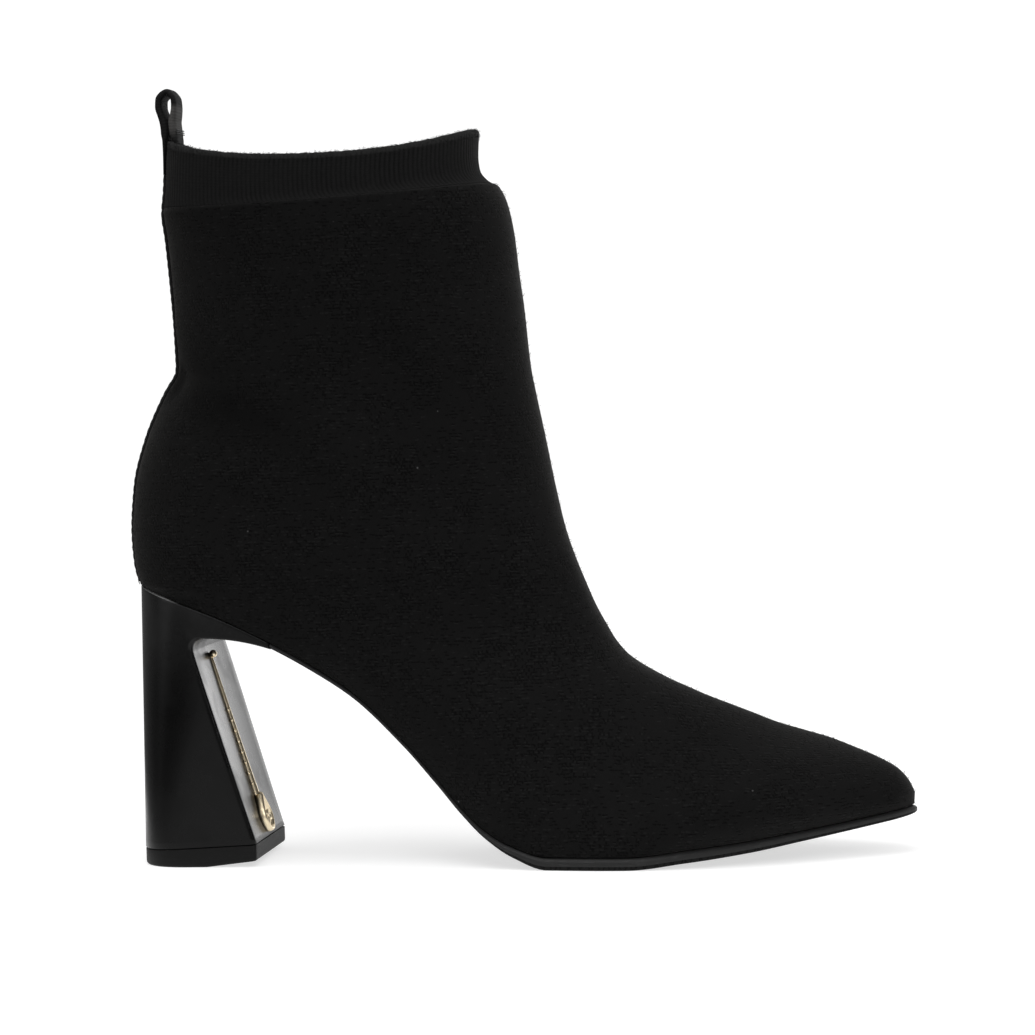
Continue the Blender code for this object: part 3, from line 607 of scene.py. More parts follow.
def rib_material():
    made, tree, shader = material(
        "rib_knit", grey(0.006), 0.85, Sheen_Weight=0.032, Sheen_Roughness=0.4,
        Sheen_Tint=grey(0.95, 0.03), Specular_IOR_Level=0.06,
    )
    place = object_place(tree)
    chart = parts(tree, own_map(tree))
    stitch = calc(tree, "DIVIDE", chart["Y"], 0.0006)
    loops = calc(tree, "ABSOLUTE", calc(tree, "SINE", times(tree, stitch, math.pi)))
    fibre = noise(tree, place, 0.0003, 3.0)
    height = plus(tree, times(tree, loops, 0.5), fibre)
    raise_surface(tree, shader, height, 0.00012, 0.8)
    # Painted shade: the colour is darker in the valleys between the ribs, more strongly in some patches than
    # in others.
    valley = calc(tree, "ABSOLUTE", minus(tree, calc(tree, "FRACT", chart["X"]), 0.5))
    valley_shade_patches = ramp(tree, noise(tree, place, 0.012, 2.0), 0.3, 0.7)
    valley_shade_strength = plus(tree, 0.55, times(tree, valley_shade_patches, 0.45))
    ridge = times(tree, ramp(tree, valley, 0.5, 0.1), valley_shade_strength)
    ridge = plus(tree, ridge, minus(tree, 1.0, valley_shade_strength))
    tone = times(tree, ridge, plus(tree, 0.4, noise(tree, place, 0.0016)))
    # Painted highlight: the rolled top edge of the cuff is given a lighter colour, standing in for light
    # caught on the roll.
    rim = ramp(tree, chart["Y"], 0.0013, 0.0004)
    colour = blend(tree, tone, grey(0.0048), grey(0.0102))
    colour = blend(tree, times(tree, rim, 0.8), colour, grey(0.024))
    feed(tree, shader, Base_Color=colour)
    return made


def lining_material():
    made, tree, shader = material("lining", grey(0.012), 0.95, Sheen_Weight=0.15, Sheen_Roughness=0.5)
    place = object_place(tree)
    fleece = noise(tree, place, 0.0008, 4.0, 0.7)
    raise_surface(tree, shader, fleece, 0.0003, 0.8)
    feed(tree, shader, Base_Color=blend(tree, fleece, grey(0.006), grey(0.018)))
    return made


def tape_material(name, light, dark, weave, paler=None):
    """Woven tape: fine cross ribs with a small sheen. paler is where along it the tape is lighter."""
    made, tree, shader = material(
        name, grey(light), 0.7, Sheen_Weight=0.02, Sheen_Roughness=0.4, Specular_IOR_Level=0.05,
    )
    place = object_place(tree)
    chart = parts(tree, own_map(tree))
    line = calc(tree, "SINE", times(tree, chart["Y"], 2 * math.pi / weave))
    cross = calc(tree, "SINE", times(tree, chart["X"], 2 * math.pi / (weave * 1.3)))
    rib = plus(tree, times(tree, line, 0.5), times(tree, cross, 0.3))
    height = plus(tree, rib, noise(tree, place, 0.0004))
    raise_surface(tree, shader, height, 0.00008, 0.7)
    colour = blend(tree, noise(tree, place, 0.004), grey(dark), grey(light))
    if paler:
        start, full, gone, end = paler
        rising = ramp(tree, chart["Y"], start, full)
        falling = ramp(tree, chart["Y"], end, gone)
        colour = blend(tree, times(tree, rising, falling), colour, grey(light * 5.0, 0.03))
    feed(tree, shader, Base_Color=colour)
    return made


def heel_material():
    """Glossy black covering: faint grain, haze from handling, a painted reflection that lightens it towards
    the top, and a painted highlight on the lip at the back of the seat.
    """
    made, tree, shader = material(
        "heel_cover", grey(0.002), 0.3, Specular_IOR_Level=0.14, Coat_Weight=0.03, Coat_Roughness=0.12,
    )
    place = object_place(tree)
    grain = noise(tree, place, 0.0011, 4.0)
    sway = noise(tree, place, 0.022, 1.0)
    height = plus(tree, times(tree, grain, 0.12), sway)
    raise_surface(tree, shader, height, 0.0004, 0.07)
    haze = ramp(tree, noise(tree, place, 0.012), 0.45, 0.75)
    height_over = parts(tree, place)["Z"]
    reflection_patchiness = plus(tree, 0.6, times(tree, haze, 0.4))
    # Painted reflection: the cover's colour grows lighter towards the top of the heel, in uneven patches.
    top_reflection_share = times(tree, ramp(tree, height_over, 0.046, 0.078), reflection_patchiness)
    cover = blend(tree, top_reflection_share, grey(0.0016), grey(0.0155))
    specks = lint(tree, place, 0.009, 0.00022)
    feed(tree, shader, Roughness=plus(tree, 0.27, times(tree, haze, 0.1)))
    # Painted highlight: a pale line on the upward-facing lip at the back of the seat.
    upward = parts(tree, node(tree, "ShaderNodeNewGeometry").outputs["Normal"])["Z"]
    along = parts(tree, place)["X"]
    lip_highlight_span = times(tree, ramp(tree, along, -0.011, -0.006), ramp(tree, along, 0.006, -0.001))
    lip = times(tree, ramp(tree, upward, 0.25, 0.7), lip_highlight_span)
    cover = blend(tree, times(tree, lip, ramp(tree, height_over, 0.070, 0.074)), cover, grey(0.30))
    feed(tree, shader, Base_Color=blend(tree, specks, cover, grey(0.06)))
    return made


def rubber_material(name, value, roughness, grain_size):
    made, tree, shader = material(name, grey(value), roughness, Specular_IOR_Level=0.15)
    place = object_place(tree)
    grain = noise(tree, place, grain_size, 4.0, 0.65)
    raise_surface(tree, shader, grain, 0.00012, 0.6)
    scuff = ramp(tree, noise(tree, scaled(tree, place, (1.0, 1.0, 5.0)), 0.004, 4.0, 0.7), 0.5, 0.8)
    feed(tree, shader, Base_Color=blend(tree, scuff, grey(value * 0.8), grey(value * 1.5)))
    feed(tree, shader, Roughness=plus(tree, roughness, times(tree, grain, 0.12)))
    return made


def tread_material():
    """Sole face: fine cast lozenges under the forefoot, with painted shade in the grooves between them."""
    made, tree, shader = material("tread", grey(0.006), 0.7, Specular_IOR_Level=0.08)
    place = parts(tree, object_place(tree))
    pitch = 0.0032
    down = calc(tree, "DIVIDE", plus(tree, place["X"], place["Y"]), pitch)
    up = calc(tree, "DIVIDE", minus(tree, place["X"], place["Y"]), pitch)
    lines = [calc(tree, "ABSOLUTE", minus(tree, calc(tree, "FRACT", v), 0.5)) for v in (down, up)]
    groove = ramp(tree, calc(tree, "MAXIMUM", *lines), 0.48, 0.38)
    grain = noise(tree, object_place(tree), 0.0006, 3.0)
    height = plus(tree, groove, times(tree, grain, 0.25))
    raise_surface(tree, shader, height, 0.0004, 0.8)
    # Painted shade: the grooves between the lozenges are darker in colour.
    feed(tree, shader, Base_Color=blend(tree, groove, grey(0.003), grey(0.0075)))
    return made


def sock_lining_material():
    made, tree, shader = material("sock_lining", grey(0.03, 0.05), 0.6, Specular_IOR_Level=0.35)
    place = object_place(tree)
    cells = node(tree, "ShaderNodeTexVoronoi", {"Vector": place, "Scale": 900.0}, feature="DISTANCE_TO_EDGE")
    pebble = ramp(tree, cells.outputs["Distance"], 0.0, 0.25)
    raise_surface(tree, shader, pebble, 0.0001, 0.7)
    shade = noise(tree, place, 0.01)
    feed(tree, shader, Base_Color=blend(tree, shade, grey(0.022, 0.06), grey(0.045, 0.06)))
    return made


def gold_material():
    made, tree, shader = material("gold_trim", (0.92, 0.78, 0.54, 1.0), 0.16, Metallic=1.0)
    place = object_place(tree)
    wear = noise(tree, place, 0.0009, 3.0)
    raise_surface(tree, shader, wear, 0.00006, 0.5)
    feed(tree, shader, Roughness=plus(tree, 0.23, times(tree, wear, 0.2)))
    feed(tree, shader, Base_Color=blend(tree, wear, (0.88, 0.72, 0.47, 1), (1.0, 0.88, 0.66, 1)))
    return made


def fluff_material():
    made, tree, shader = material("fluff", grey(0.008), 0.9, Specular_IOR_Level=0.05)
    shade = noise(tree, object_place(tree), 0.003, 2.0)
    feed(tree, shader, Base_Color=blend(tree, shade, grey(0.003), grey(0.012)))
    return made


def thread_material():
    made, tree, shader = material("thread", grey(0.02), 0.7, Sheen_Weight=0.3)
    twist = noise(tree, object_place(tree), 0.0002, 2.0)
    raise_surface(tree, shader, twist, 0.00005, 0.7)
    feed(tree, shader, Base_Color=blend(tree, twist, grey(0.012), grey(0.04)))
    return made


# Meshes of the pieces

def new_object(name, data):
    made = bpy.data.objects.new(name, data)
    bpy.context.scene.collection.objects.link(made)
    return made


def applied(piece):
    """The piece's mesh with its modifiers applied."""
    return bpy.data.meshes.new_from_object(piece.evaluated_get(bpy.context.evaluated_depsgraph_get()))


def show(name, mesh, slot, *finishes):
    """A finished piece: its materials and its body. slot is not used."""
    for finish in finishes:
        mesh.materials.append(finish)
    piece = new_object(name, mesh)
    mesh.shade_smooth()
    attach(piece, "root")
    return piece


def cleaned(mesh, merge):
    """The mesh with points closer than merge made one, and its faces pointing outwards."""
    work = bmesh.new()
    work.from_mesh(mesh)
    bmesh.ops.remove_doubles(work, verts=work.verts, dist=merge)
    bmesh.ops.dissolve_degenerate(work, edges=work.edges, dist=1e-7)
    bmesh.ops.recalc_face_normals(work, faces=work.faces)
    work.to_mesh(mesh)
    work.free()
    return mesh


def grid_mesh(name, grid, chart=None, wrap=False, merge=3e-6):
    """Quads through a grid of points. wrap joins the last row to the first."""
    rows, columns = grid.shape[:2]
    count = rows if wrap else rows - 1
    i, j = np.meshgrid(np.arange(count), np.arange(columns - 1), indexing="ij")
    below = (i + 1) % rows
    here, under = i * columns + j, below * columns + j
    faces = np.stack((here, here + 1, under + 1, under), axis=-1)
    mesh = bpy.data.meshes.new(name)
    mesh.from_pydata(grid.reshape(-1, 3).tolist(), [], faces.reshape(-1, 4).tolist())
    if chart is not None:
        double = chart.shape[1] == columns + 1
        turn = columns // 2
        first = np.where(double & (j >= turn), j + 1, j)
        corners = ((i, first), (i, first + 1), (below, first + 1), (below, first))
        places = np.stack([chart[a, b] for a, b in corners], axis=2).reshape(-1, 2)
        layer = mesh.uv_layers.new(name="UVMap")
        layer.data.foreach_set("uv", places.astype(np.float32).ravel())
    return cleaned(mesh, merge)


def rings_mesh(name, rings):
    """A closed solid through rings of one count, each in order round the piece."""
    grid = np.array(rings)
    rows, count = grid.shape[:2]
    faces = []
    for i in range(rows - 1):
        for j in range(count):
            a, b = i * count + j, i * count + (j + 1) % count
            faces.append((a, b, b + count, a + count))
    half = count // 2
    for base in (0, (rows - 1) * count):
        for j in range(half - 1 + count % 2):
            corners = (base + j, base + j + 1, base + count - 2 - j, base + count - 1 - j)
            faces.append(tuple(dict.fromkeys(corners)))
    mesh = bpy.data.meshes.new(name)
    mesh.from_pydata(grid.reshape(-1, 3).tolist(), [], [f for f in faces if len(f) > 2])
    return cleaned(mesh, 2e-6)


def give_wall(piece, thickness, offset, inner_slot=0):
    """Gives the piece its wall, as plain mesh."""
    wall = piece.modifiers.new("wall", "SOLIDIFY")
    wall.thickness = thickness
    wall.offset = offset
    wall.material_offset = inner_slot
    mesh = applied(piece)
    piece.modifiers.remove(wall)
    piece.data = mesh


def make_knit_body(knit, lining):
    """The knitted sock below the cuff, swelling a little where the cuff joins it."""
    near = CUFF_END + np.array((0.0, 0.05, 0.12, 0.22, 0.34, 0.48, 0.65, 0.85))
    at = np.concatenate((near, np.linspace(CUFF_END + 1.1, CORNER, 64), np.linspace(CORNER, TOE, 86)[1:]))
    grid, chart = skin(at, 128)
    steps = np.linalg.norm(np.diff(grid, axis=0), axis=2)
    run = np.concatenate((np.zeros((1, grid.shape[1])), np.cumsum(steps, axis=0)))
    lip = -BODY_LIP * np.exp(-((run / 0.0005) ** 2)) + BODY_SWELL * np.exp(-(((run - 0.0012) / 0.0013) ** 2))
    grid = grid + outward(grid) * (lip - fold_depth(grid))[..., None]
    piece = show("knit_body", grid_mesh("knit_body", grid, chart), "upper", knit, lining)
    give_wall(piece, WALL * 0.9, -1.0, inner_slot=1)
    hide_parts("upper")
    return grid_mesh("fuzz_ground", grid[::2, ::2])


def make_rib_cuff(rib):
    """The ribbed cuff as one closed ring: outer ribs, rolled edge and inner face."""
    at = np.concatenate((np.linspace(0, CUFF_END - 0.02, 14), (CUFF_END + 0.02, CUFF_END + 0.35)))
    per_rib = POINTS_PER_RIB
    grid, _ = skin(at, HALF_RIBS * per_rib)
    columns = grid.shape[1]
    normal = outward(grid)
    phase = np.arange(columns) / per_rib
    rib_shape = np.abs(np.cos(phase * math.pi)) ** 0.8 - 0.6
    fade = np.clip((CUFF_END - 0.25 - at) / 0.5, 0, 1)[:, None]
    tuck = np.where(at > CUFF_END, -0.0007, 0.0)[:, None]
    edge = np.exp(-((at / 0.35) ** 2))[:, None]
    luck = np.random.default_rng(7)
    rib_starts = np.arange(0, columns + per_rib, per_rib)
    wobble = np.interp(np.arange(columns), rib_starts, luck.normal(0, 1, len(rib_starts)))
    outer = grid + normal * (RIB_DEPTH * rib_shape * fade + tuck - 0.0001 * edge)[..., None]
    up = np.array((0, 0, 1.0))
    half_wall = WALL / 2
    rim = []
    for turn in np.linspace(0, math.pi, 7)[1:-1]:
        in_by = half_wall * (1 - math.cos(turn))
        lift = half_wall * 0.3 * math.sin(turn) + RIM_BUMP * (wobble + 2.2 * rib_shape) * math.sin(turn)
        rim.append(outer[0] - normal[0] * in_by + up * lift[:, None])
    inner = grid - normal * (WALL - RIB_DEPTH * rib_shape * 0.7 * fade)[..., None]
    profile = np.concatenate((outer[::-1], np.array(rim), inner))
    steps = np.arange(len(at)) * RIM_STEP
    down = np.concatenate((steps[::-1], [RIM_PLACE] * len(rim), steps))
    chart = np.stack(np.broadcast_arrays(phase[None, :] + 0.5, down[:, None]), axis=-1)
    mesh = grid_mesh("rib_cuff", profile, chart, wrap=True)
    show("rib_cuff", mesh, "upper", rib)
    roll = np.concatenate((outer[1:0:-1], outer[:1], np.array(rim)))[:, ::3]
    return grid_mesh("rim_ground", roll)


def outline(x, margin):
    """The featherline moved out by margin in plan, as outer and inner points at each x."""
    step = 1e-5
    edges = []
    for side in (-1, 1):
        low, high = (side * feather(x + d)[1] + feather(x + d)[2] for d in (-step, step))
        mid = side * feather(x)[1] + feather(x)[2]
        slope = (high - low) / (2 * step)
        length = np.hypot(1, slope)
        ends = np.isclose(feather(x)[1], 0)
        way_x = np.where(ends, np.where(x < LENGTH / 2, -1, 1), -side * slope / length)
        way_y = np.where(ends, 0, side / length)
        edges.append(np.stack((x + margin * way_x, mid + margin * way_y), axis=-1))
    return edges


def stations(start, end, count):
    """Places along the boot, closer together at the two round ends."""
    turn = np.linspace(0, math.pi, count)
    eased = 0.5 * (1 - np.cos(turn))
    return start + (end - start) * (0.6 * eased + 0.4 * turn / math.pi)


def ring(edges, height):
    """One closed ring: the outer edge back to front, then the inner edge front to back."""
    sides = []
    for edge in edges:
        z = height(edge[:, 0])
        sides.append(np.column_stack((edge[:, 0] - ORIGIN_X, edge[:, 1], z)))
    return np.concatenate((sides[0], sides[1][::-1]))


def make_outsole(edge_finish, tread):
    """Thin sole: a rounded top edge, a flat side, a soft bevel and the tread."""
    x = stations(WING_END + GAP / 6, FEATHER[-1][0] * LENGTH, 150)

    def top(v):
        return feather(v)[0] - GAP

    def part(share):
        return lambda v: top(v) - feather(v)[3] * share

    profile = ((1.0, -0.0011), (1.0, -0.0003), (0.93, 0.00025), (0.80, 0.0006), (0.66, SOLE_MARGIN),
               (0.34, SOLE_MARGIN), (0.28, 0.0007), (0.12, 0.0003), (0.0, -0.0004), (0.0, -0.0016))
    rings = [ring(outline(x, margin), part(share)) for share, margin in profile]
    mesh = rings_mesh("sole", rings)
    piece = show("sole", mesh, "outsole", edge_finish, tread)
    for face in mesh.polygons:
        face.material_index = 1 if face.normal.z < -0.35 else 0
    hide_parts("outsole")


def make_sock_lining(finish):
    """Sock lining on the insole board, with a rolled edge."""
    x = stations(FEATHER[0][0] * LENGTH, FEATHER[-1][0] * LENGTH, 110)
    inset = WALL + INSOLE_CLEARANCE
    rings = []
    for up, more in ((0.0, 0.0), (0.6, 0.0), (0.9, 0.0003), (1.0, 0.0009), (1.0, 0.0016)):
        rings.append(ring(outline(x, -inset - more), lambda v, up=up: feather(v)[0] + INSOLE_THICKNESS * up))
    piece = show("sock_lining", rings_mesh("sock_lining", rings), "insole", finish)
    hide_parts("insole")


def lift_top(x):
    """Height of the joint between lift and block, which rises to the breast."""
    return LIFT_THICKNESS + LIFT_RISE * np.clip((x - HEEL_BACK) / (BREAST_FOOT - HEEL_BACK), 0, 1)


def lift_bottom(x):
    """The lift's underside: a flat spot at the back, then a slight rise to the breast."""
    start = HEEL_BACK + LIFT_FLAT
    return LIFT_RISE * np.clip((x - start) / (BREAST_FOOT - start), 0, 1)


def heel_half(x, share, side):
    """Distance to the side of the heel's outline at a share of its height."""
    from_back = np.clip(1 - (x - HEEL_BACK) / HEEL_CORNER, 0, 1)
    foot_half = side * HEEL_WIDTH / 2 * (1 - from_back**HEEL_SQUARENESS) ** (1 / HEEL_SQUARENESS)
    seat = outline(np.clip(x + SEAT_MARGIN, FEATHER[0][0] * LENGTH, None), SEAT_MARGIN)[0 if side < 0 else 1]
    seat_x = np.where(x <= HEEL_BACK, HEEL_BACK, seat[:, 0])
    return x + (seat_x - x) * share, foot_half + (seat[:, 1] - foot_half) * share


def heel_ring(share, front, height, inset=0.0, edge=BREAST_EDGE, hollow=0.0):
    """A D-shaped ring of the heel whose breast is at front, with rounded breast corners."""
    turn = np.linspace(0, 1, 30)
    curve = HEEL_BACK + HEEL_CORNER * (1 - np.cos(turn * math.pi / 2))
    straight = np.linspace(curve[-1], front - edge, 14)[1:]
    share_of = np.linspace(0, 1, len(curve) + len(straight))
    if front - edge < curve[-1]:
        back_x = HEEL_BACK + (front - edge - HEEL_BACK) * (1 - np.cos(share_of * math.pi / 2))
    else:
        back_x = np.concatenate((curve[curve < front - edge - 1e-4], straight[straight > curve[-1]]))
        back_x = np.interp(share_of, np.linspace(0, 1, len(back_x)), back_x)
    sides = []
    for side in (-1, 1):
        x, y = heel_half(back_x, share, side)
        end_x, end_y = x[-1], y[-1]
        bend = np.linspace(0, math.pi / 2, 8)[1:]
        corner_x = end_x + (front - end_x) * np.sin(bend)
        corner_y = end_y - side * edge * (1 - np.cos(bend))
        across = np.linspace(1, 0, 8)[1:]
        middle = (sides[0][-1][1] if sides else 0.0)
        face_y = corner_y[-1] * across + middle * (1 - across)
        sides.append(np.column_stack((
            np.concatenate((x, corner_x, front - hollow * (1 - across**2))),
            np.concatenate((y, corner_y, face_y)),
        )))
    plan = np.concatenate((sides[0], sides[1][::-1]))
    if inset:
        centre = np.array((min((HEEL_BACK + front) / 2, HEEL_BACK + HEEL_CORNER), 0.0))
        way = plan - centre
        plan = plan - way / np.linalg.norm(way, axis=1, keepdims=True) * inset
    return np.column_stack((plan[:, 0] - ORIGIN_X, plan[:, 1], height(plan[:, 0])))


def breast_line():
    """Foot and head of the breast in side view, and the unit way up along it."""
    foot = np.array((BREAST_FOOT, float(lift_top(BREAST_FOOT))))
    head = np.array((BREAST_HEAD, SEAT_HEIGHT - BREAST_DROP))
    way = (head - foot) / np.hypot(*(head - foot))
    return foot, head, way


def breast_profile():
    """The heel's front in side view: up the breast, round its corner and out under the waist."""
    foot, head, way = breast_line()
    crown = np.array((WING_CROWN, feather(WING_CROWN)[0] - GAP - 2 * WING_THICKNESS))
    end = np.array((WING_END, feather(WING_END)[0] - GAP - WING_THICKNESS))
    lean = math.atan2(way[1], way[0])
    centre = head + np.array((way[1], -way[0])) * WING_RADIUS
    turn = np.linspace(lean + math.pi / 2, math.pi / 2 + math.radians(8), 16)
    corner = centre + WING_RADIUS * np.column_stack((np.cos(turn), np.sin(turn)))
    rise = foot + (corner[0] - foot) * np.linspace(0, 1, 34)[:-1, None]
    span = np.linspace(0, 1, 22)[1:, None]
    arch = (1 - span) ** 2 * corner[-1] + 2 * span * (1 - span) * crown + span**2 * end
    return np.concatenate((rise, corner, arch))


def make_heel(cover):
    """The covered heel, ring by ring up the breast and out along the wing."""
    def between(share):
        return lambda v: lift_top(v) + (feather(v)[0] - GAP - lift_top(v)) * share

    foot_hollow = BREAST_HOLLOW * LIFT_HOLLOW
    foot_front = BREAST_FOOT - 2 * JOINT_INSET
    rings = [heel_ring(0.0, foot_front, between(0.0), inset=JOINT_INSET, hollow=foot_hollow)]
    profile = breast_profile()
    bend = np.interp(np.arange(len(profile)), (0, 8, 33, 46), (LIFT_HOLLOW, 1.0, 1.0, 0.0))
    for (x, z), hollow in zip(profile, bend * BREAST_HOLLOW):
        low = float(lift_top(x))
        share = (z - low) / (float(feather(x)[0]) - GAP - low)
        share = max(share, 0.004)
        rings.append(heel_ring(share, x, between(share), hollow=hollow))
    rings += [heel_ring(share, WING_END, between(share)) for share in np.linspace(0.975, 0.994, 3)]
    for turn in np.linspace(0, math.pi / 2, 5)[1:]:
        lift = 0.994 + 0.006 * math.sin(turn)
        rings.append(heel_ring(lift, WING_END, between(lift), inset=SEAT_EDGE * (1 - math.cos(turn))))
    piece = show("heel", rings_mesh("heel", rings), "heel_block", cover)
    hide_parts("heel_block")


def make_lift(finish):
    """Rubber top lift, its edges rounded more at the foot than at the joint."""
    rings = []
    for at_foot, bend, round_off in ((True, (90, 60, 30, 0), 1.0), (False, (0, 45, 90), 0.35)):
        for degrees in bend:
            inset = LIFT_EDGE * (1 - math.cos(math.radians(degrees))) * round_off
            rise = LIFT_EDGE * (1 - math.sin(math.radians(degrees))) * round_off

            def height(v, at_foot=at_foot, rise=rise):
                return lift_bottom(v) + rise if at_foot else lift_top(v) - GAP * 0.5 - rise

            hollow = BREAST_HOLLOW * LIFT_HOLLOW
            rings.append(heel_ring(0.0, BREAST_FOOT, height, inset + JOINT_INSET / 2, LIFT_EDGE, hollow))
    piece = show("lift", rings_mesh("lift", rings), "top_lift", finish)
    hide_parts("top_lift")


def back_strip(at, half_width, stand_off, count):
    """A strip of the upper's back, moved off the knit by stand_off, with its own flat chart."""
    p = {n: v[:, None] for n, v in planes(at).items()}
    y = np.linspace(-half_width, half_width, count)[None, :]
    power = p["round"]
    share = p["widest"] * (1 - (1 - np.abs(y / p["half"]) ** power) ** (1 / power))
    x = p["back"] + share * (p["front"] - p["back"])
    z = p["back_z"] + share * (p["front_z"] - p["back_z"]) - p["sag"] * (y / p["half"]) ** 2
    grid = np.stack((x - ORIGIN_X, y + 0 * x, z), axis=-1)
    normal = np.cross(np.gradient(grid, axis=1), np.gradient(grid, axis=0))
    normal /= np.linalg.norm(normal, axis=-1, keepdims=True)
    normal *= -np.sign(normal[..., :1])
    run = run_along(grid[:, count // 2])
    chart = np.stack(np.broadcast_arrays(y, run[:, None]), axis=-1)
    return grid, normal * stand_off, chart


def row_at_height(height):
    """Row number of the shaft plane whose back is at a height."""
    rows = np.linspace(0, CORNER, 400)
    return float(np.interp(-height, -planes(rows)["back_z"], rows))


def collar_back():
    rim = planes(np.array([0.0]))
    return float(rim["back"][0]) - ORIGIN_X, float(rim["back_z"][0])


def make_backstay(tape):
    """Back tape, a little domed, with a pressed line inside each edge."""
    top = row_at_height(collar_back()[1] - LOOP_TAIL + 0.001)
    foot = row_at_height(SEAT_HEIGHT + 0.0006)
    at = np.linspace(top, foot, 150)
    grid, normal, chart = back_strip(at, STAY_WIDTH / 2, 1.0, 25)
    across = np.linspace(-1, 1, 25)
    dome = STAY_THICKNESS * (1 - np.abs(across) ** 6 * 0.75)
    pressed = 0.00012 * np.exp(-(((np.abs(across) - 0.72) / 0.06) ** 2))
    outer = grid + normal * (dome - pressed + 0.0002)[None, :, None]
    inner = grid + normal * 0.00005
    profile = np.concatenate((outer, inner[:, ::-1]), axis=1)
    chart = np.concatenate((chart, chart[:, ::-1]), axis=1)
    profile = np.concatenate((profile, profile[:, :1]), axis=1)
    chart = np.concatenate((chart, chart[:, :1]), axis=1)
    mesh = grid_mesh("back_tape", profile, chart)
    piece = show("back_tape", mesh, "backstay", tape)
    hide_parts("backstay")
    return [grid[:, k] + normal[:, k] * (dome[k] - pressed[k] + 0.0002) for k in (4, 20)]


# The webbing's loop in side view. up is a share of LOOP_TOP over the collar, outer and inner are the
# middle of each limb from the collar's wall, and thick is the limb's thickness, all in metres.
LOOP_COLUMNS = ("up", "outer", "outer_thick", "inner", "inner_thick")
LOOP = (
    (-0.640, -0.0019, 0.0009, 0.0020, 0.0010),
    (-0.320, -0.0018, 0.0010, 0.0018, 0.0011),
    (0.020, -0.0017, 0.0015, 0.0016, 0.0018),
    (0.110, -0.0016, 0.0023, 0.0012, 0.0025),
    (0.200, -0.0016, 0.0026, 0.0010, 0.0027),
    (0.380, -0.0019, 0.0026, 0.0008, 0.0026),
    (0.520, -0.0026, 0.0024, 0.0012, 0.0022),
    (0.680, -0.0033, 0.0023, 0.0015, 0.0019),
    (0.820, -0.0032, 0.0022, 0.0014, 0.0018),
    (0.920, -0.0021, 0.0022, 0.0005, 0.0019),
)
LOOP_CROWN = (0.975, -0.0006, 0.0019)


def make_pull_loop(webbing):
    """Folded webbing with rounded edges, pinched over the collar and open at the eye."""
    back, top = collar_back()
    middle = back + WALL / 2
    rows = named_rows(LOOP, LOOP_COLUMNS)
    line = [(middle + r["outer"], top + r["up"] * LOOP_TOP, r["outer_thick"]) for r in rows]
    up, shift, thick = LOOP_CROWN
    line.append((middle + shift, top + up * LOOP_TOP, thick))
    line += [(middle + r["inner"], top + r["up"] * LOOP_TOP, r["inner_thick"]) for r in rows[::-1]]
    line = np.array(line)
    places = np.arange(len(line))
    at = np.linspace(0, len(line) - 1, 120)
    path = np.column_stack([smooth(places, line[:, k], at) for k in range(3)])
    way = np.gradient(path[:, :2], axis=0)
    way /= np.linalg.norm(way, axis=1, keepdims=True)
    side = np.column_stack((-way[:, 1], way[:, 0]))
    run = run_along(path[:, :2])
    around = np.linspace(0, 2 * math.pi, 41)
    power = 0.35
    across = np.sign(np.cos(around)) * np.abs(np.cos(around)) ** power
    out = np.sign(np.sin(around)) * np.abs(np.sin(around)) ** 0.8
    grid = np.empty((len(path), len(around), 3))
    grid[..., 0] = path[:, None, 0] + side[:, None, 0] * out[None] * path[:, None, 2] / 2
    grid[..., 1] = across[None] * LOOP_WIDTH / 2
    grid[..., 2] = path[:, None, 1] + side[:, None, 1] * out[None] * path[:, None, 2] / 2
    chart = np.stack(np.broadcast_arrays(across[None] * LOOP_WIDTH / 2, run[:, None]), axis=-1)
    ends = [np.repeat(grid[k:k + 1].mean(axis=1, keepdims=True), len(around), axis=1) for k in (0, -1)]
    grid = np.concatenate((ends[0], grid, ends[1]))
    chart = np.concatenate((chart[:1], chart, chart[-1:]))
    piece = show("pull_webbing", grid_mesh("pull_webbing", grid, chart), "pull_loop", webbing)
    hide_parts("pull_loop")


def tack_rows(height):
    """A row of the bar tack, across the front limb at a height over the collar."""
    back, top = collar_back()
    rows = named_rows(LOOP, LOOP_COLUMNS)
    share = [r["up"] for r in rows]
    face = [r["inner"] + r["inner_thick"] / 2 for r in rows]
    x = back + WALL / 2 + float(np.interp(height / LOOP_TOP, share, face)) + 0.0001
    return [(x, y, top + height) for y in np.linspace(-0.0046, 0.0046, 9)]


def on_breast(up, out):
    """A point in side view, up along the breast from its foot and out in front of it."""
    foot, _, way = breast_line()
    ahead = np.array((way[1], -way[0]))
    x, z = foot + way * up + ahead * (out - BREAST_HOLLOW)
    return x - ORIGIN_X, z


def breast_points(rows):
    """Points from (across, up, out) rows on the heel's breast."""
    placed = []
    for across, up, out in rows:
        x, z = on_breast(up, out)
        placed.append((x, across, z))
    return np.array(placed)


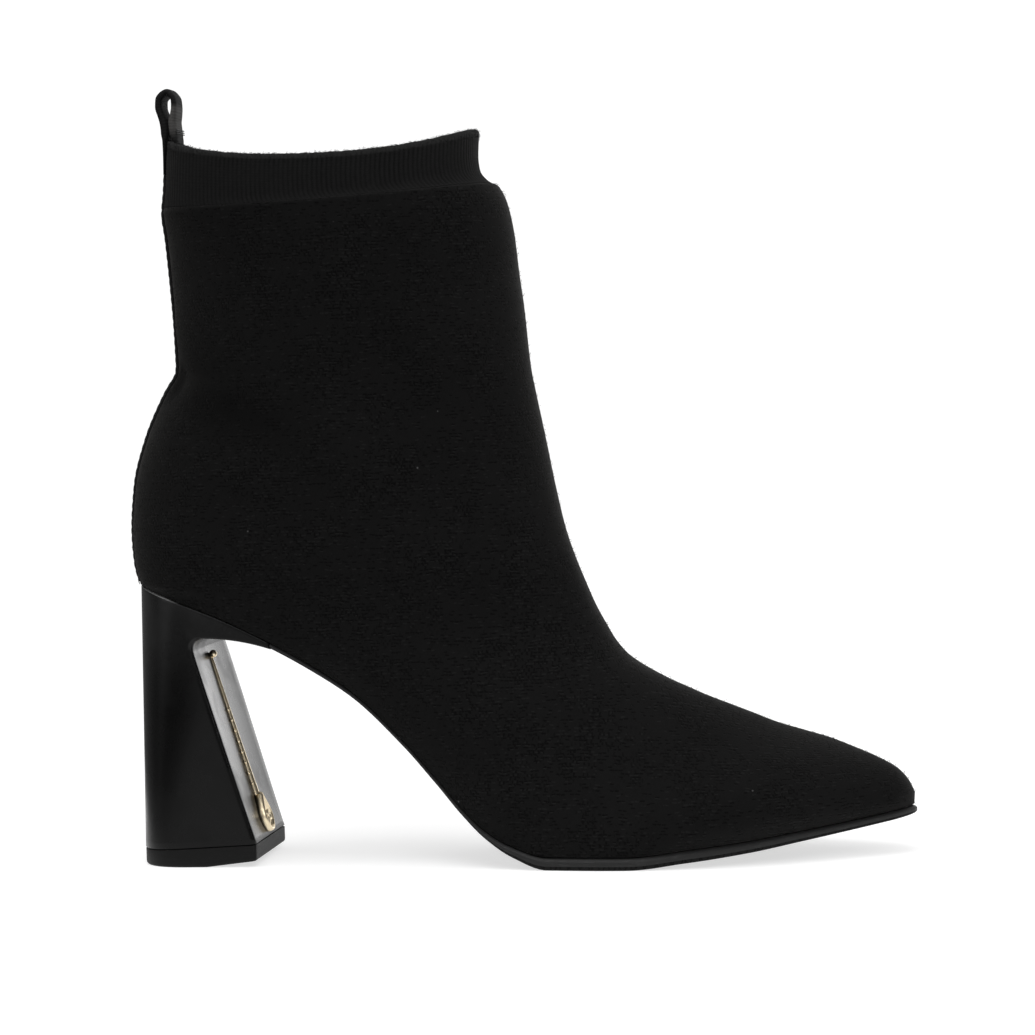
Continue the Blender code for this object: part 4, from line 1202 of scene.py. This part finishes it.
def make_rod(gold):
    """Slim bar with wide chamfers, thinner towards the round bead at its head."""
    foot, head, _ = breast_line()
    low = CHARM_FOOT + CHARM_HEIGHT - 0.0006
    high = float(np.hypot(*(head - foot))) - ROD_START
    section = ((-0.50, 0.0), (-0.50, 0.42), (-0.46, 0.52), (-0.26, 0.86), (-0.16, 0.97), (-0.06, 1.0),
               (0.06, 1.0), (0.16, 0.97), (0.26, 0.86), (0.46, 0.52), (0.50, 0.42), (0.50, 0.0))
    rings = []
    for up in np.linspace(low, high, 40):
        slim = 1 - ROD_TAPER * np.clip((up - low) / (high - low), 0, 1) ** 0.7
        width, depth = ROD_WIDTH * slim, ROD_DEPTH * slim
        rows = [(across * width, up, GAP * 0.5 + out * depth) for across, out in section]
        rings.append(breast_points(rows))
    bar = rings_mesh("rod", rings)
    work = bmesh.new()
    work.from_mesh(bar)
    x, z = on_breast(high, HEAD_BEAD / 2)
    place = Matrix.Translation((x, 0, z))
    bmesh.ops.create_uvsphere(work, u_segments=32, v_segments=18, radius=HEAD_BEAD / 2, matrix=place)
    bmesh.ops.recalc_face_normals(work, faces=work.faces)
    work.to_mesh(bar)
    work.free()
    piece = show("heel_bar", bar, "heel_rod", gold)
    bar.set_sharp_from_angle(angle=math.radians(50))
    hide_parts("heel_rod")
    return low, high


def teardrop(width, height, count):
    """Outline of a drop with its round end down, as points across and up."""
    radius = width / 2
    reach = height - radius
    touch = math.acos(radius / reach)
    turn = np.linspace(math.pi / 2 + touch, 5 * math.pi / 2 - touch, count)
    points = [(radius * math.cos(t), radius + radius * math.sin(t)) for t in turn]
    for (across, up), shares in ((points[-1], (0.3, 0.6, 0.85, 1.0)), (points[0], (0.85, 0.6, 0.3))):
        points += [(across * (1 - share), up + (height - up) * share) for share in shares]
    return points


def make_charm(gold):
    """Drop-shaped plate: a round rim and a fluted fan inside, a plain generic relief."""
    outer = teardrop(CHARM_WIDTH, CHARM_HEIGHT, 61)
    middle = CHARM_WIDTH / 2
    levels = ((1.00, 0.0), (1.02, 0.35), (1.00, 0.75), (0.95, 0.95), (0.88, 1.0), (0.81, 0.93), (0.77, 0.70),
              (0.72, 0.52), (0.60, 0.58), (0.45, 0.66), (0.30, 0.74), (0.16, 0.80), (0.06, 0.82), (0.0, 0.82))
    rows = []
    for scale, out in levels:
        ring_rows = []
        for across, up in outer:
            bearing = math.atan2(across, up - middle)
            inside = 0.1 < scale < 0.8
            flute = 0.10 * math.cos(11 * bearing) if inside else 0.0
            point = (up - middle) * scale / (CHARM_HEIGHT - middle)
            hollow = 0.62 * np.clip((point - 0.18) / 0.16, 0, 1) if inside else 0.0
            ring_rows.append((across * scale, CHARM_FOOT + middle + (up - middle) * scale,
                              GAP * 0.5 + (out + flute - hollow) * CHARM_DEPTH))
        rows.append(breast_points(ring_rows))
    grid = np.array(rows)
    grid = np.concatenate((np.repeat(grid[:1].mean(axis=1, keepdims=True), grid.shape[1], axis=1), grid))
    grid = np.concatenate((grid, grid[:, :1]), axis=1)
    mesh = grid_mesh("drop_charm", grid, merge=1e-6)
    piece = show("drop_charm", mesh, "charm", gold)
    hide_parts("charm")


# Geometry Nodes for what repeats

def new_tree(name, sizes):
    """A node tree with a geometry input and named size inputs."""
    tree = bpy.data.node_groups.new(name, "GeometryNodeTree")
    tree.interface.new_socket(name="Geometry", in_out="INPUT", socket_type="NodeSocketGeometry")
    for size, value in sizes.items():
        kind = "NodeSocketInt" if isinstance(value, int) else "NodeSocketFloat"
        tree.interface.new_socket(name=size, in_out="INPUT", socket_type=kind)
    tree.interface.new_socket(name="Geometry", in_out="OUTPUT", socket_type="NodeSocketGeometry")
    return tree, tree.nodes.new("NodeGroupInput"), tree.nodes.new("NodeGroupOutput")


def grow(name, base, tree, sizes, finish, slot):
    """Runs a tree on a base mesh and keeps the result as a plain mesh piece."""
    base.materials.append(finish)
    piece = new_object(name, base)
    made = piece.modifiers.new("growth", "NODES")
    made.node_group = tree
    for item in tree.interface.items_tree:
        if item.in_out == "INPUT" and item.name in sizes:
            made[item.identifier] = sizes[item.name]
    mesh = applied(piece)
    bpy.data.objects.remove(piece)
    return show(name, mesh, slot, *([] if mesh.materials else [finish]))


def path_mesh(name, lines):
    """A mesh of bare edges along one or more lines of points."""
    points, edges = [], []
    for line in lines:
        first = len(points)
        points += [tuple(p) for p in line]
        edges += [(first + k, first + k + 1) for k in range(len(line) - 1)]
    mesh = bpy.data.meshes.new(name)
    mesh.from_pydata(points, edges, [])
    return mesh


def even_points(tree, inputs):
    """The lines, with points at the pitch."""
    curve = node(tree, "GeometryNodeMeshToCurve", {"Mesh": inputs.outputs["Geometry"]})
    return node(tree, "GeometryNodeResampleCurve",
                {"Curve": curve.outputs["Curve"], "Length": inputs.outputs["Pitch"]}, mode="LENGTH")


def made_real(tree, placed, finish, outputs):
    """The tree's end: instances made real, with their finish."""
    real = node(tree, "GeometryNodeRealizeInstances", {"Geometry": placed.outputs["Instances"]})
    painted = node(tree, "GeometryNodeSetMaterial",
                   {"Geometry": real.outputs["Geometry"], "Material": finish})
    tree.links.new(painted.outputs["Geometry"], outputs.inputs["Geometry"])
    return tree


def bead_tree(finish):
    """Low domes at an even pitch along the lines."""
    sizes = {"Pitch": 1.0, "Diameter": 1.0}
    tree, inputs, outputs = new_tree("beads_along", sizes)
    even = even_points(tree, inputs)
    radius = node(tree, "ShaderNodeMath", {0: inputs.outputs["Diameter"], 1: 0.5}, operation="MULTIPLY")
    ball = node(tree, "GeometryNodeMeshUVSphere", {"Segments": 12, "Rings": 8, "Radius": radius.outputs[0]})
    placed = node(tree, "GeometryNodeInstanceOnPoints",
                  {"Points": even.outputs["Curve"], "Instance": ball.outputs["Mesh"]})
    return made_real(tree, placed, finish, outputs)


def stitch_tree(finish):
    """Short threads laid along the lines, each sunk at its ends."""
    sizes = {"Pitch": 1.0, "Length": 1.0, "Width": 1.0}
    tree, inputs, outputs = new_tree("stitches_along", sizes)
    even = even_points(tree, inputs)
    ball = node(tree, "GeometryNodeMeshUVSphere", {"Segments": 8, "Rings": 6, "Radius": 0.5})
    size = node(tree, "ShaderNodeCombineXYZ",
                {"X": inputs.outputs["Length"], "Y": inputs.outputs["Width"], "Z": inputs.outputs["Width"]})
    tangent = node(tree, "GeometryNodeInputTangent")
    turned = node(tree, "FunctionNodeAlignRotationToVector", {"Vector": tangent.outputs[0]}, axis="X")
    placed = node(tree, "GeometryNodeInstanceOnPoints", {
        "Points": even.outputs["Curve"], "Instance": ball.outputs["Mesh"],
        "Rotation": turned.outputs[0], "Scale": size.outputs[0],
    })
    return made_real(tree, placed, finish, outputs)


def fuzz_tree(finish):
    """Short curved fibres standing off the knit at random."""
    sizes = {"Density": 1.0, "Length": 1.0, "Seed": 1}
    tree, inputs, outputs = new_tree("fuzz_over", sizes)
    spread = node(tree, "GeometryNodeDistributePointsOnFaces", {
        "Mesh": inputs.outputs["Geometry"], "Density": inputs.outputs["Density"],
        "Seed": inputs.outputs["Seed"],
    })
    bend = node(tree, "GeometryNodeCurvePrimitiveBezierSegment", {
        "Resolution": 3, "Start": (0, 0, -0.1), "Start Handle": (0, 0, 0.4), "End Handle": (0.5, 0, 0.6),
        "End": (1.0, 0.2, 0.5),
    })
    strand = node(tree, "GeometryNodeCurvePrimitiveCircle", {"Resolution": 3, "Radius": 0.06})
    fibre = node(tree, "GeometryNodeCurveToMesh",
                 {"Curve": bend.outputs["Curve"], "Profile Curve": strand.outputs["Curve"]})
    spin = node(tree, "FunctionNodeRandomValue", {"Min": (-0.5, -0.5, 0.0), "Max": (0.5, 0.5, 6.283)},
                data_type="FLOAT_VECTOR")
    turned = node(tree, "FunctionNodeRotateRotation", {
        "Rotation": spread.outputs["Rotation"], "Rotate By": spin.outputs["Value"],
    }, rotation_space="LOCAL")
    reach = node(tree, "FunctionNodeRandomValue", {"Min": 0.4, "Max": 1.3, "Seed": inputs.outputs["Seed"]},
                 data_type="FLOAT")
    reach_size = next(s for s in reach.outputs if s.enabled)
    size = node(tree, "ShaderNodeMath", {0: reach_size, 1: inputs.outputs["Length"]}, operation="MULTIPLY")
    placed = node(tree, "GeometryNodeInstanceOnPoints", {
        "Points": spread.outputs["Points"], "Instance": fibre.outputs["Mesh"],
        "Rotation": turned.outputs[0], "Scale": size.outputs[0],
    })
    return made_real(tree, placed, finish, outputs)


# The studio

def make_camera():
    turn, lift, roll = CAMERA_AZIMUTH, CAMERA_ELEVATION, CAMERA_ROLL
    away = Vector((math.sin(turn) * math.cos(lift), -math.cos(turn) * math.cos(lift), math.sin(lift)))
    right = (-away).cross(Vector((0, 0, 1))).normalized()
    up = right.cross(-away).normalized()
    rolled_right = right * math.cos(roll) - up * math.sin(roll)
    rolled_up = right * math.sin(roll) + up * math.cos(roll)
    camera = bpy.data.cameras.new("camera")
    camera.sensor_width = SENSOR
    camera.lens = SENSOR * PIXELS_PER_METRE * CAMERA_DISTANCE / IMAGE_SIZE
    camera.clip_end = 50
    holder = new_object("camera", camera)
    facing = Matrix((rolled_right, rolled_up, away)).transposed().to_4x4()
    holder.matrix_world = Matrix.Translation(CAMERA_TARGET + away * CAMERA_DISTANCE) @ facing
    bpy.context.scene.camera = holder


def make_world():
    """White studio: bright behind, above and to the sides, dim on the camera's side."""
    world = bpy.data.worlds.new("studio")
    world.use_nodes = True
    tree = world.node_tree
    shader = tree.nodes["Background"]
    shader.inputs["Color"].default_value = grey(1.0)
    place = node(tree, "ShaderNodeTexCoord").outputs["Generated"]
    way = parts(tree, place)
    behind = ramp(tree, way["Y"], -0.35, 0.35)
    above = ramp(tree, way["Z"], 0.1, 0.9)
    left = plus(tree, 0.15, times(tree, ramp(tree, way["X"], -0.6, -0.05), 0.85))
    light = calc(tree, "MAXIMUM", times(tree, behind, left), above)
    level = plus(tree, 0.10, times(tree, light, 0.5))
    seen = node(tree, "ShaderNodeLightPath").outputs["Is Camera Ray"]
    feed(tree, shader, Strength=calc(tree, "MAXIMUM", level, times(tree, seen, SEEN_WORLD)))
    bpy.context.scene.world = world


def make_lamp(name, place, target, width, height, power):
    lamp = bpy.data.lights.new(name, "AREA")
    lamp.shape = "RECTANGLE"
    lamp.size = width
    lamp.size_y = height
    lamp.energy = power
    holder = new_object(name, lamp)
    away = Vector(place) - Vector(target)
    holder.location = place
    holder.rotation_mode = "QUATERNION"
    holder.rotation_quaternion = away.to_track_quat("Z", "Y")


def make_floor():
    mesh = bpy.data.meshes.new("floor")
    left, right, near, far = FLOOR
    mesh.from_pydata([(left, near, 0), (right, near, 0), (right, far, 0), (left, far, 0)], [], [(0, 1, 2, 3)])
    pale, _, shader = material("floor_paint", grey(0.5), 0.9)
    shader.inputs["Emission Color"].default_value = grey(1.0)
    shader.inputs["Emission Strength"].default_value = FLOOR_GLOW
    mesh.materials.append(pale)
    floor = new_object("floor", mesh)


make_camera()
make_world()
make_floor()
for lamp_sizes in named_rows(LAMPS, LAMP_COLUMNS):
    make_lamp(**lamp_sizes)
bpy.context.scene.view_settings.view_transform = "Standard"

knit, rib, fluff = knit_material(), rib_material(), fluff_material()
thread, gold = thread_material(), gold_material()
knit_ground = make_knit_body(knit, lining_material())
rim_ground = make_rib_cuff(rib)
make_outsole(rubber_material("sole_edge", 0.024, 0.42, 0.0005), tread_material())
make_sock_lining(sock_lining_material())
make_heel(heel_material())
make_lift(rubber_material("lift_rubber", 0.006, 0.5, 0.0004))
stay_edges = make_backstay(tape_material("back_tape", 0.018, 0.010, 0.0007))
make_pull_loop(tape_material("webbing", 0.0150, 0.009, 0.0009, paler=(0.031, 0.033, 0.038, 0.043)))
rod_low, rod_high = make_rod(gold)
make_charm(gold)

stud_line = breast_points([
    (-0.46 * ROD_WIDTH, up, ROD_DEPTH * 0.30) for up in np.linspace(rod_low + 0.0004, rod_low + 0.0276, 9)
])
grow("bar_studs", path_mesh("stud_line", [stud_line]), bead_tree(gold), STUDS, gold, "heel_rod")
grow("tape_stitches", path_mesh("stay_lines", stay_edges), stitch_tree(thread),
     STAY_STITCHES, thread, "backstay")
grow("knit_fuzz", knit_ground, fuzz_tree(fluff), KNIT_FUZZ, fluff, "upper")
grow("rim_fuzz", rim_ground, fuzz_tree(fluff), RIM_FUZZ, fluff, "upper")
tack_line = [tack_rows(height) for height in TACK_HEIGHTS]
grow("loop_tack", path_mesh("tack_lines", tack_line), stitch_tree(thread), TACK_STITCHES, thread, "pull_loop")
